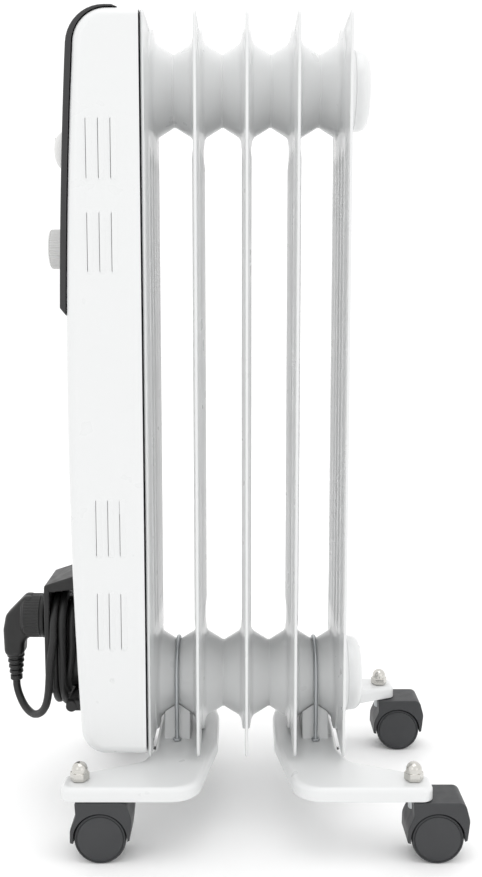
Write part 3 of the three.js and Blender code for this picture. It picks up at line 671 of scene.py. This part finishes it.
def fin_half_thickness(y, z):
    edge = distance_to_edge(y, z)
    if edge < BEAD:
        return BEAD * math.sqrt(max(1 - (1 - edge / BEAD) ** 2, 0))
    to_side = FIN_HALF_WIDTH - abs(y)
    to_end = min(z - FIN_BOTTOM, FIN_TOP - z)
    height = BEAD - 0.5 * smoothstep(edge, 3, 4)
    height += 1.9 * smoothstep(to_side, 8, 27) * smoothstep(to_end, 6, 60)
    for k in (-1.5, -0.5, 0.5, 1.5):
        reach = min(z - CHANNEL_ENDS[0], CHANNEL_ENDS[1] - z)
        if reach > 0:
            width = 9.5 * min(1, math.sqrt(reach / 26))
            off = abs(y - k * CHANNEL_PITCH) / width
            if off < 1:
                height += 1.3 * math.cos(off * math.pi / 2) ** 1.2 * min(1, reach / 12)
    for hub in (HUB_LOWER_Z, HUB_UPPER_Z):
        from_hub = math.hypot(y, z - hub)
        height += 2 * (1 - smoothstep(from_hub, 37, 58)) * smoothstep(to_end, 4, 12)
    along = (abs(y) - 40) * 0.8 - (z - (FIN_TOP - 18)) * 0.6
    across = (abs(y) - 40) * 0.6 + (z - (FIN_TOP - 18)) * 0.8
    height -= 0.9 * math.exp(-((along / 5.5) ** 2) - (across / 2.8) ** 2)
    return height


def fin_rows():
    ends = list(EDGE_STEPS)
    inner = FIN_TOP - FIN_BOTTOM - 2 * ends[-1]
    count = round(inner / 4)
    rows = [FIN_BOTTOM + e for e in ends]
    rows += [FIN_BOTTOM + ends[-1] + inner * k / count for k in range(1, count)]
    rows += [FIN_TOP - e for e in reversed(ends)]
    return rows


def fin_columns(z):
    beyond = max(FIN_CORNER - min(z - FIN_BOTTOM, FIN_TOP - z), 0)
    half = FIN_HALF_WIDTH - FIN_CORNER + math.sqrt(FIN_CORNER ** 2 - beyond ** 2)
    inner = half - EDGE_STEPS[-1]
    count = 44
    columns = [e - half for e in EDGE_STEPS]
    columns += [inner * (2 * k / count - 1) for k in range(1, count)]
    columns += [half - e for e in reversed(EDGE_STEPS)]
    return columns


def fin_shell(bm, x):
    """The two pressed half shells, welded round their rims, open inside the hubs."""
    rows = fin_rows()
    grid = [[(y, z) for y in fin_columns(z)] for z in rows]
    last_row, last_column = len(grid) - 1, len(grid[0]) - 1
    sides = []
    for way in (-1, 1):
        side = []
        for i, row in enumerate(grid):
            line = []
            for j, (y, z) in enumerate(row):
                on_rim = i in (0, last_row) or j in (0, last_column)
                if on_rim and sides:
                    line.append(sides[0][i][j])
                    continue
                h = 0 if on_rim else fin_half_thickness(y, z)
                line.append(bm.verts.new((x + way * h, y, z)))
            side.append(line)
        sides.append(side)

    def open_cell(i, j):
        y = (grid[i][j][0] + grid[i + 1][j + 1][0]) / 2
        z = (grid[i][j][1] + grid[i + 1][j + 1][1]) / 2
        return any(math.hypot(y, z - hub) < FIN_OPENING_RADIUS for hub in (HUB_LOWER_Z, HUB_UPPER_Z))

    cells = {(i, j): open_cell(i, j) for i in range(last_row) for j in range(last_column)}
    for (i, j), is_open in cells.items():
        if not is_open:
            for side in sides:
                bm.faces.new([side[i][j], side[i][j + 1], side[i + 1][j + 1], side[i + 1][j]])
            continue
        for (k, m), one, two in (
            ((i - 1, j), (i, j), (i, j + 1)), ((i + 1, j), (i + 1, j), (i + 1, j + 1)),
            ((i, j - 1), (i, j), (i + 1, j)), ((i, j + 1), (i, j + 1), (i + 1, j + 1)),
        ):
            if not cells[k, m]:
                near, far = sides
                bm.faces.new([near[one[0]][one[1]], near[two[0]][two[1]],
                              far[two[0]][two[1]], far[one[0]][one[1]]])


def collar_side(reach, radius):
    """Half the section of a hub's collar, from its open end to the plate."""
    lean = (HUB_FLARE_RADIUS - radius) / (reach - 4)
    start = min(6.5, reach - 1.5)
    return [
        (reach, HUB_BORE_RADIUS), (reach, radius - 0.4), (reach - 0.4, radius),
        (start, radius + lean * (reach - start)), (start - 1.3, 37.6), (4.4, 39.6), (3.8, 42.5),
        (3.1, 47), (0.5, 48),
    ]


def hub_collar(bm, x, z, left, right):
    section = collar_side(*right) + [(-h, r) for h, r in reversed(collar_side(*left))]
    lathe(bm, [(x + h, r) for h, r in section], "x", (0, 0, z), 72, True)


def fin(number):
    name = f"fin_{number}"
    low, high = node_box(name)
    x = (number - (FIN_COUNT + 1) / 2) * FIN_PITCH
    bm = bmesh.new()
    fin_shell(bm, x)
    reaches = (x - low.x, high.x - x)
    radii = [HUB_NECK_RADIUS if reach > 15 else HUB_END_RADIUS for reach in reaches]
    for z in (HUB_LOWER_Z, HUB_UPPER_Z):
        hub_collar(bm, x, z, (reaches[0], radii[0]), (reaches[1], radii[1]))
        bead = arc_profile(x + reaches[1] + GAP / 2, radii[1] - 0.3, 0.7, 0, 330, 11)
        lathe(bm, bead, "x", (0, 0, z), 72, True)
    piece(f"pressed_{name}", bm, WHITE, name, angle=50)


for fin_number in range(1, FIN_COUNT + 1):
    fin(fin_number)


def hub_cap(level, z):
    low, high = node_box(f"hub_cap_{level}")
    bm = bmesh.new()
    seat = low.x + 4
    spigot = HUB_BORE_RADIUS - GAP
    corner = 8.5
    profile = [(low.x, 0), (low.x, spigot - 0.5), (low.x + 0.5, spigot), (seat, spigot),
               (seat, HUB_END_RADIUS - 0.3), (seat + 0.3, HUB_END_RADIUS)]
    profile += reversed(arc_profile(high.x - corner - 0.9, HUB_END_RADIUS - corner, corner, 8, 90, 10))
    profile += [(high.x - 0.35, 18), (high.x - 0.1, 9), (high.x, 0)]
    lathe(bm, profile, "x", (0, 0, z), 72)
    piece(f"pressed_hub_cap_{level}", bm, WHITE, f"hub_cap_{level}")


hub_cap("upper", HUB_UPPER_Z)
hub_cap("lower", HUB_LOWER_Z)


# ---- control housing ----

def housing_front_x(z):
    return HOUSING_FRONT_X + (z - HOUSING_BOW_Z) ** 2 / (2 * HOUSING_BOW_RADIUS)


def housing_outline(grow, back_x):
    bottom, top = HOUSING_BOTTOM - grow, HOUSING_TOP + grow
    bow = [top + (bottom - top) * k / 16 for k in range(2, 15)]
    return rounded([
        (back_x, bottom, 0), (back_x, top, 0), (housing_front_x(top) - grow, top, 26 + grow),
        *[(housing_front_x(z) - grow, z, 0) for z in bow],
        (housing_front_x(bottom) - grow, bottom, 20 + grow),
    ], 14)


def spindle_holes(bm, radius):
    for z in (SELECTOR_Z, THERMOSTAT_Z):
        profile = [(HOUSING_FRONT_X - 12, 0), (HOUSING_FRONT_X - 12, radius),
                   (HOUSING_FRONT_X + 20, radius), (HOUSING_FRONT_X + 20, 0)]
        lathe(bm, profile, "x", (0, 0, z), 24)


SLOT_WIDTH = 4
SLOT_PITCH = 9.2
SLOT_GROUPS = [(-109, 519, 565), (-109, 450, 496), (-106, 231, 277), (-106, 156, 203)]
SLOTS = [(x + k * SLOT_PITCH, z0, z1) for x, z0, z1 in SLOT_GROUPS for k in (-1, 0, 1)]


def louvre(bm, x, z0, z1, way):
    """The strip of sheet beside a slot, pressed out of the side and faired in at its ends."""
    section = [(2.6, -0.5), (2.6, 0.05), (1.2, 0.6), (-1.1, 1.1), (-1.5, 0.9), (-1.5, 0.1), (1, -0.5)]
    stations = [(-0.5, 0), (0.4, 0.4), (1.8, 0.8), (4, 1)]
    stations = [(z0 + d, f) for d, f in stations] + [(z1 - d, f) for d, f in reversed(stations)]
    rings = []
    for z, out in stations:
        rings.append([
            Vector((x + dx, way * (HOUSING_HALF_WIDTH + (dy * out - 0.04 if dy > 0 else dy)), z))
            for dx, dy in section
        ])
    stack(bm, rings)


def housing():
    bm = bmesh.new()
    width = HOUSING_HALF_WIDTH
    prism(bm, housing_outline(0, 0), -width, width, "y", 8, 8)
    inner = bmesh.new()
    wall = HOUSING_WALL
    prism(inner, housing_outline(-wall, 20), wall - width, width - wall, "y", 8 - wall, 6)
    bm = combined(bm, inner)
    beyond = bmesh.new()
    prism(beyond, rectangle(HOUSING_BACK_X, 40, 0, 700, 0.5, 1), -width - PAST, width + PAST, "y")
    bm = combined(bm, beyond)
    openings = bmesh.new()
    for x, z0, z1 in SLOTS:
        half = SLOT_WIDTH / 2
        prism(openings, rectangle(x - half, x + half, z0, z1, half - 0.01), -width - PAST,
              width + PAST, "y")
    spindle_holes(openings, SPINDLE_RADIUS + 1)
    boss = [(HOUSING_FRONT_X - 10, 0), (HOUSING_FRONT_X - 10, 5.3), (HOUSING_FRONT_X + 25, 5.3),
            (HOUSING_FRONT_X + 25, 0)]
    lathe(openings, boss, "x", (0, GLAND_Y, GLAND_Z), 24)
    for way in (-1, 1):
        dish = [(way * (width - 0.9), 0), (way * (width - 0.75), 1.2), (way * (width + 0.2), 3),
                (way * (width + 1), 3), (way * (width + 1), 0)]
        lathe(openings, dish, "y", (-106.5, 0, 131), 32)
    bm = combined(bm, openings)
    for x, z0, z1 in SLOTS:
        for way in (-1, 1):
            louvre(bm, x, z0, z1, way)
    piece("housing_pressing", bm, WHITE, "housing_shell")


housing()


def panel_front_x(z):
    return housing_front_x(z) - PANEL_THICKNESS


def panel():
    bottom, back, top = panel_low.z, panel_high.x, panel_high.z
    width = panel_high.y
    face = [bottom + 6 + (top - bottom - 30) * k / 12 for k in range(11, 0, -1)]
    outer = rounded([
        (back, HOUSING_TOP + GAP, 0), (back - 4, top, 2), (housing_front_x(top) - 5, top, 29),
        *[(panel_front_x(z), z, 0) for z in face],
        (panel_front_x(bottom + 6), bottom + 6, 1.5), (housing_front_x(bottom), bottom, 0),
        (back, bottom, 0),
    ], 10)
    bm = bmesh.new()
    prism(bm, outer, -width, width, "y", 1.5, 4)
    inside = bmesh.new()
    prism(inside, housing_outline(GAP, 20), -width - PAST, width + PAST, "y")
    bm = combined(bm, inside)
    holes = bmesh.new()
    spindle_holes(holes, SPINDLE_RADIUS + 1)
    bm = combined(bm, holes)
    piece("control_panel_moulding", bm, ANTHRACITE, "control_panel")


panel()


# Dots and numbers printed round the two knobs.
def panel_marks():
    bm = bmesh.new()
    ring = 22.5
    for z, stops in ((SELECTOR_Z, [-135, -45, 45, 135]), (THERMOSTAT_Z, range(-150, 151, 20))):
        for stop in stops:
            angle = math.radians(stop)
            y, up = ring * math.sin(angle), z + ring * math.cos(angle)
            x = panel_front_x(up)
            profile = [(x + 0.3, 0), (x + 0.3, 0.9), (x - 0.15, 0.9), (x - 0.25, 0.7), (x - 0.25, 0)]
            lathe(bm, profile, "x", (0, y, up), 16)
    piece("panel_marks", bm, MARKS)


def panel_numbers():
    ring = 29
    dials = ((SELECTOR_Z, (-135, -45, 45, 135)), (THERMOSTAT_Z, (-150, -90, -30, 30, 90, 150)))
    for dial, (z, stops) in enumerate(dials):
        for number, stop in enumerate(stops):
            angle = math.radians(stop)
            y, up = -ring * math.sin(angle), z + ring * math.cos(angle)
            text = bpy.data.curves.new("number", "FONT")
            text.body = str(number + dial)
            text.size = 6.5
            text.align_x = "CENTER"
            text.align_y = "CENTER"
            text.extrude = 0.25
            holder = bpy.data.objects.new("number", text)
            bpy.context.scene.collection.objects.link(holder)
            bpy.context.view_layer.update()
            seen = holder.evaluated_get(bpy.context.evaluated_depsgraph_get())
            mesh = bpy.data.meshes.new_from_object(seen)
            bpy.data.objects.remove(holder)
            bm = bmesh.new()
            bm.from_mesh(mesh)
            place = Matrix(((0, 0, -1, panel_front_x(up)), (-1, 0, 0, y), (0, 1, 0, up), (0, 0, 0, 1)))
            bmesh.ops.transform(bm, matrix=place, verts=bm.verts)
            bmesh.ops.remove_doubles(bm, verts=bm.verts, dist=0.001)
            piece(f"panel_number_{dial + 1}_{number}", bm, MARKS)


panel_marks()
panel_numbers()


# ---- knobs ----

def pointer(bm, front, z, from_z, to_z):
    """A raised bar on the face of a knob, which points up at rest."""
    prism(bm, rectangle(-1.1, 1.1, z + from_z, z + to_z, 1.05), front + 4, front, "x", 0.4, 3)


def selector_knob():
    low, high = node_box("knob_selector")
    back = low.x + 17
    radius = (high.y - low.y) / 2
    bm = bmesh.new()
    profile = [(low.x, 0), (low.x + 0.25, 4), (low.x + 1, 8), (low.x + 2.2, 11), (low.x + 4, 13.2),
               (low.x + 6.2, 14.7), (low.x + 9, 15.6), (low.x + 13, 16), (back - 1, radius - 0.1),
               (back - 0.4, radius), (back, radius - 0.5), (back, SPINDLE_RADIUS),
               (high.x, SPINDLE_RADIUS), (high.x, 0)]
    lathe(bm, profile, "x", (0, 0, SELECTOR_Z), 72)
    pointer(bm, low.x + 0.4, SELECTOR_Z, 4, 10.5)
    piece("selector_dial", bm, GREY, "knob_selector")


def thermostat_knob():
    low, high = node_box("knob_thermostat")
    back = low.x + 19
    knurl_from, knurl_to = low.x + 1.6, back - 3

    def knurl(h, angle):
        if knurl_from <= h <= knurl_to:
            return -0.55 * (0.5 + 0.5 * math.cos(48 * angle))
        return 0

    bm = bmesh.new()
    profile = [(low.x + 0.7, 0), (low.x + 0.7, 11), (low.x, 11.8), (low.x, 14.4), (low.x + 0.5, 15.3),
               (low.x + 1.3, 15.9), (knurl_from, 16), (low.x + 3, 16.1), (back - 6, 16.2),
               (knurl_to, 16.2), (knurl_to + 0.3, 16.3), (back - 0.4, 16.3), (back, 15.9),
               (back, SPINDLE_RADIUS), (high.x, SPINDLE_RADIUS), (high.x, 0)]
    lathe(bm, profile, "x", (0, 0, THERMOSTAT_Z), 288, wave=knurl)
    pointer(bm, low.x + 0.1, THERMOSTAT_Z, 3, 10)
    piece("temperature_knob", bm, GREY, "knob_thermostat")


selector_knob()
thermostat_knob()


# ---- cord holder ----

def cord_holder():
    flange_x = HOLDER_FRONT_X + HOLDER_FLANGE
    top = 194
    bm = bmesh.new()
    face = rectangle(holder_low.y, holder_high.y, holder_low.z, top, 9)
    prism(bm, face, HOLDER_FRONT_X, flange_x, "x", 1.6, 5)
    core = bmesh.new()
    prism(core, racetrack(INNER_TURN_RADIUS - CORD_RADIUS - GAP, WINDING_STRAIGHT, WINDING_Z),
          flange_x - 1, -110, "x")
    bm = combined(bm, core, "UNION")
    canopy = bmesh.new()
    shape = rounded([
        (HOLDER_FRONT_X, 185, 0.8), (flange_x, 185, 0.8), (flange_x, 188, 0.8), (-110, 195, 0),
        (-110, 213.5, 0), (HOLDER_FRONT_X, top, 2.5),
    ], 6)
    prism(canopy, shape, holder_low.y + 2, holder_high.y - 2, "y", 1.6, 5)
    bm = combined(bm, canopy, "UNION")
    housing_space = bmesh.new()
    width = HOUSING_HALF_WIDTH + GAP
    prism(housing_space, housing_outline(GAP, 20), -width, width, "y", 8, 6)
    bm = combined(bm, housing_space)
    socket = bmesh.new()
    for way in (-1, 1):
        profile = [(HOLDER_FRONT_X - 1, 0), (HOLDER_FRONT_X - 1, 3), (HOLDER_FRONT_X + 0.4, 2.75),
                   (HOLDER_FRONT_X + 17.5, 2.75), (HOLDER_FRONT_X + 17.5, 0)]
        lathe(socket, profile, "x", (0, way * PIN_SPACING / 2, PLUG_Z), 32)
    bm = combined(bm, socket)
    piece("cord_holder_moulding", bm, BLACK, "cord_holder")


cord_holder()


# ---- feet and clamps ----

def foot_outline():
    quarter = [(76, 46, 20), (84, 70, 12), (143, 97, 8), (143, 121, 9), (39, 121, 24), (24, 28, 40)]
    return rounded([*quarter, *[(x, -y, r) for x, y, r in reversed(quarter)]], 8)


def foot_blank(bm):
    """A pressed sheet with a turned-down lip and a rounded edge."""
    outline = foot_outline()
    bend = 4
    arc = [math.pi / 2 * k / 6 for k in range(7)]
    outside = [(0, FOOT_LIP_BOTTOM + 0.3)]
    outside += [(bend * (1 - math.cos(t)), FOOT_TOP - bend * (1 - math.sin(t))) for t in arc]
    inner_bend = bend - FOOT_SHEET
    under = FOOT_TOP - FOOT_SHEET
    inside = [(FOOT_SHEET, FOOT_LIP_BOTTOM + 0.3)]
    inside += [(FOOT_SHEET + inner_bend * (1 - math.cos(t)), under - inner_bend * (1 - math.sin(t)))
               for t in arc]
    levels = list(reversed(inside)) + [(FOOT_SHEET - 0.3, FOOT_LIP_BOTTOM), (0.3, FOOT_LIP_BOTTOM)]
    levels += outside
    stack(bm, [[Vector((p.x, p.y, z)) for p in inset(outline, offset)] for offset, z in levels])


def foot_model():
    bm = bmesh.new()
    foot_blank(bm)
    holes = bmesh.new()
    for way in (-1, 1):
        for x, y, radius in ((U_BOLT_X, way * U_BOLT_RADIUS, U_BOLT_ROD + GAP),
                             (CASTER_X, way * CASTER_Y, STEM_RADIUS + GAP)):
            lathe(holes, [(40, 0), (40, radius), (70, radius), (70, 0)], "z", (x, y, 0), 24)
    bm = combined(bm, holes)
    saddle = bmesh.new()
    shape = rounded([(-27, 60, 0), (27, 60, 0), (21, 90, 3), (-21, 90, 3)], 6)
    prism(saddle, shape, U_BOLT_X - 11, U_BOLT_X + 11, "x", 1, 3)
    for way in (-1, 1):
        neck = bmesh.new()
        middle = U_BOLT_X + way * FIN_PITCH / 2
        cone = [(middle - way * (FIN_PITCH / 2 + 1), 0),
                (middle - way * (FIN_PITCH / 2 + 1), HUB_NECK_RADIUS + GAP),
                (middle - way * 4, HUB_FLARE_RADIUS + GAP), (middle, HUB_FLARE_RADIUS + GAP), (middle, 0)]
        lathe(neck, cone, "x", (0, 0, HUB_LOWER_Z), 72)
        saddle = combined(saddle, neck)
    mesh = bpy.data.meshes.new("saddle")
    saddle.to_mesh(mesh)
    bm.from_mesh(mesh)
    return bm


def u_bolt_model():
    end = node_box("u_bolt_left")[0].z
    thread_top = 72
    leg = []
    z = end
    while z < thread_top:
        leg.append(z)
        z += 0.25
    leg += [thread_top + (HUB_LOWER_Z - thread_top) * k / 8 for k in range(8)]
    arc = [math.pi * k / 48 for k in range(49)]
    points = [Vector((U_BOLT_X, U_BOLT_RADIUS, z)) for z in leg]
    points += [Vector((U_BOLT_X, U_BOLT_RADIUS * math.cos(t), HUB_LOWER_Z + U_BOLT_RADIUS * math.sin(t)))
               for t in arc]
    points += [Vector((U_BOLT_X, -U_BOLT_RADIUS, z)) for z in reversed(leg)]

    def radius_at(point):
        if point.z >= thread_top or point.z < end + 0.3:
            return U_BOLT_ROD - (0.4 if point.z < end + 0.3 else 0)
        return U_BOLT_ROD - 0.25 * (0.5 + 0.5 * math.cos(2 * math.pi * point.z))

    bm = bmesh.new()
    sweep(bm, points, [radius_at(p) for p in points], 14)
    for way in (-1, 1):
        hexagon = [Vector((U_BOLT_X + 3.6 * math.cos(math.pi * k / 3),
                           way * U_BOLT_RADIUS + 3.6 * math.sin(math.pi * k / 3))) for k in range(6)]
        prism(bm, hexagon, FOOT_TOP + GAP, FOOT_TOP + 2.4, "z", 0.4, 2)
    return bm


def wing_nut_model():
    """A bored hub with two wings that start inside its wall."""
    bore = U_BOLT_ROD + GAP
    bm = bmesh.new()
    hub = [(-7, bore), (-7, 4.6), (-6.4, 5.2), (-1, 5.5), (-0.3, 5.3), (0, 4.8), (0, bore)]
    lathe(bm, hub, "z", steps=32, closed=True)
    right = [(3, -0.6, 0), (8, -4, 6), (13, -9, 3.5), (8, -13, 3.5), (3, -6.4, 0)]
    left = [(-x, z, radius) for x, z, radius in reversed(right)]
    for wing in (right, left):
        prism(bm, rounded(wing, 6), -1.5, 1.5, "y", 0.8, 4)
    return bm


foot, clamp, nut = foot_model(), u_bolt_model(), wing_nut_model()
for end_name, turn in (("left", math.pi), ("right", 0)):
    name = f"foot_{end_name}"
    piece(f"pressed_{name}", moved(foot, (0, 0, 0), turn), WHITE, name)
    piece(f"clamp_{end_name}", moved(clamp, (0, 0, 0), turn), ZINC, f"u_bolt_{end_name}")
for nut_number in range(1, 5):
    low, high = node_box(f"wing_nut_{nut_number}")
    place = ((low.x + high.x) / 2, (low.y + high.y) / 2, high.z)
    piece(f"butterfly_nut_{nut_number}", moved(nut, place), ZINC, f"wing_nut_{nut_number}")


# ---- casters ----

def dome_nut_model():
    bottom = FOOT_TOP + GAP
    bm = bmesh.new()
    hexagon = [Vector((7.5 * math.cos(math.pi * k / 3), 7.5 * math.sin(math.pi * k / 3)))
               for k in range(6)]
    prism(bm, hexagon, bottom, bottom + 6.5, "z", 0.7, 3)
    dome = [(bottom + 5, 0), (bottom + 5, 6.2), (bottom + 8, 6.2)]
    dome += reversed(arc_profile(bottom + 8, 0, 6.2, 8, 82, 10))
    dome += [(bottom + 14.2, 0)]
    lathe(bm, dome, "z", steps=48)
    return bm


def stem_model():
    low, high = node_box("caster_stem_front_left")
    shoulder = (FOOT_LIP_BOTTOM + GAP, FOOT_TOP - FOOT_SHEET - GAP)
    profile = [(low.z, 0), (low.z, 3.5), (low.z + 0.5, STEM_RADIUS), (shoulder[0], STEM_RADIUS),
               (shoulder[0], 6.5), (shoulder[0] + 0.5, 7), (shoulder[1] - 0.5, 7), (shoulder[1], 6.5),
               (shoulder[1], STEM_RADIUS), (high.z - 0.5, STEM_RADIUS), (high.z, 3.5), (high.z, 0)]
    bm = bmesh.new()
    lathe(bm, profile, "z", steps=32)
    return bm


def hood_model():
    """The hood over both wheels, with a web between them that holds the axle."""
    half = HOOD_WEB / 2 + WHEEL_WIDTH + 2 * GAP
    side = rounded([
        (-6.2, 17, 0.9), (-6, 28, 14), (-1.6, 38, 8), (-2.2, HOOD_TOP, 1.2), (37.5, HOOD_TOP, 6),
        (41.4, 35, 11), (40.4, 25, 12), (39.6, 19, 0.9), (28, 14, 4), (24, 9, 5), (10, 9, 5), (6, 15, 4),
    ], 8)
    bm = bmesh.new()
    prism(bm, side, -half, half, "y", 0.8, 4)
    spaces = bmesh.new()
    for way in (-1, 1):
        profile = [(way * HOOD_WEB / 2, 0), (way * HOOD_WEB / 2, WHEEL_RADIUS + 0.9),
                   (way * (half + PAST), WHEEL_RADIUS + 0.9), (way * (half + PAST), 0)]
        lathe(spaces, profile, "y", (CASTER_TRAIL, 0, WHEEL_RADIUS), 96)
    lathe(spaces, [(38, 0), (38, STEM_RADIUS + GAP), (60, STEM_RADIUS + GAP), (60, 0)], "z", steps=24)
    bm = combined(bm, spaces)
    axle = bmesh.new()
    lathe(axle, [(-9, 0), (-9, 3.3), (9, 3.3), (9, 0)], "y", (CASTER_TRAIL, 0, WHEEL_RADIUS), 24)
    return combined(bm, axle)


def wheel_model(way):
    """A moulded wheel with a domed cover on its outer face, inside a groove."""
    outer = way * WHEEL_WIDTH / 2
    inner = -outer
    bore = 3.3

    def at(depth, radius):
        return (outer - way * depth, radius)

    profile = [
        at(0.3, 0), at(0.3, bore), (inner, bore), (inner, 18.2), (inner + way * 0.5, 19.3),
        (inner + way * 1.6, WHEEL_RADIUS), at(2, WHEEL_RADIUS), at(1.3, 19.7), at(0.9, 19.2),
        at(1, 18.7), at(1.5, 18.4), at(1.5, 18), at(0.8, 17.4), at(0.4, 15), at(0.15, 10), at(0, 5),
        at(0, 0),
    ]
    bm = bmesh.new()
    lathe(bm, profile, "y", steps=72)
    return bm


dome_nut, stem, hood = dome_nut_model(), stem_model(), hood_model()
wheels = {"a": (-1, wheel_model(-1)), "b": (1, wheel_model(1))}
for name, x, y in (("front_left", -CASTER_X, -CASTER_Y), ("front_right", CASTER_X, -CASTER_Y),
                   ("rear_left", -CASTER_X, CASTER_Y), ("rear_right", CASTER_X, CASTER_Y)):
    place = Vector((x, y, 0))
    piece(f"cap_nut_{name}", moved(dome_nut, place), CHROME, f"dome_nut_{name}")
    piece(f"stem_{name}", moved(stem, place), ZINC, f"caster_stem_{name}")
    piece(f"hood_{name}", moved(hood, place), CASTER, f"caster_hood_{name}")
    low, high = node_box(f"caster_axle_{name}")
    axle = bmesh.new()
    ends = [(low.y, 0), (low.y, 2.4), (low.y + 0.6, 3), (high.y - 0.6, 3), (high.y, 2.4), (high.y, 0)]
    lathe(axle, ends, "y", (x + CASTER_TRAIL, 0, WHEEL_RADIUS), 32)
    piece(f"axle_{name}", axle, ZINC, f"caster_axle_{name}")
    for letter, (way, wheel) in wheels.items():
        offset = way * ((HOOD_WEB + WHEEL_WIDTH) / 2 + GAP)
        spot = place + Vector((CASTER_TRAIL, offset, WHEEL_RADIUS))
        node = f"wheel_{name}_{letter}"
        piece(f"moulded_{node}", moved(wheel, spot), CASTER, node)


# ---- parts inside the housing, as they are in the frame ----

for node, material in (
    ("heating_element_low", TUBE), ("heating_element_high", TUBE), ("element_flange", BRASS),
    ("back_plate", ZINC), ("selector_switch", CERAMIC), ("thermostat", ZINC),
    ("terminal_block", CERAMIC), ("tip_over_switch", BLACK), ("thermal_cutout", CERAMIC),
):
    mesh = frame["nodes"][node].data
    mesh.materials.clear()
    mesh.materials.append(material)


# ---- floor and light ----

floor_mesh = bpy.data.meshes.new("floor")
floor_bm = bmesh.new()
bmesh.ops.create_grid(floor_bm, x_segments=4, y_segments=4, size=8)
floor_bm.to_mesh(floor_mesh)
floor = bpy.data.objects.new("floor", floor_mesh)
bpy.context.scene.collection.objects.link(floor)
floor_mesh.materials.append(surface("floor_paint", 0xFCFCFC, 0.7, mottle=0.002, patch=3, bump=0.02))

world = bpy.data.worlds.new("world")
world.use_nodes = True
world.node_tree.nodes["Background"].inputs["Color"].default_value = (1, 1, 1, 1)
world.node_tree.nodes["Background"].inputs["Strength"].default_value = 1.15
bpy.context.scene.world = world


LIGHT_TARGET = Vector((0, 0, 0.35))


def softbox(name, place, size, watts):
    light = bpy.data.lights.new(name, "AREA")
    light.size = size
    light.energy = watts
    thing = bpy.data.objects.new(name, light)
    bpy.context.scene.collection.objects.link(thing)
    thing.location = place
    aim = LIGHT_TARGET - Vector(place)
    thing.rotation_euler = aim.to_track_quat("-Z", "Y").to_euler()


softbox("key", (-1.2, -1.9, 1.3), 1.2, 2)
softbox("top", (0.1, -0.3, 2.3), 1.6, 9)
softbox("fill", (1.5, -1.9, 0.9), 1.4, 2)
bpy.context.scene.view_settings.view_transform = "Standard"
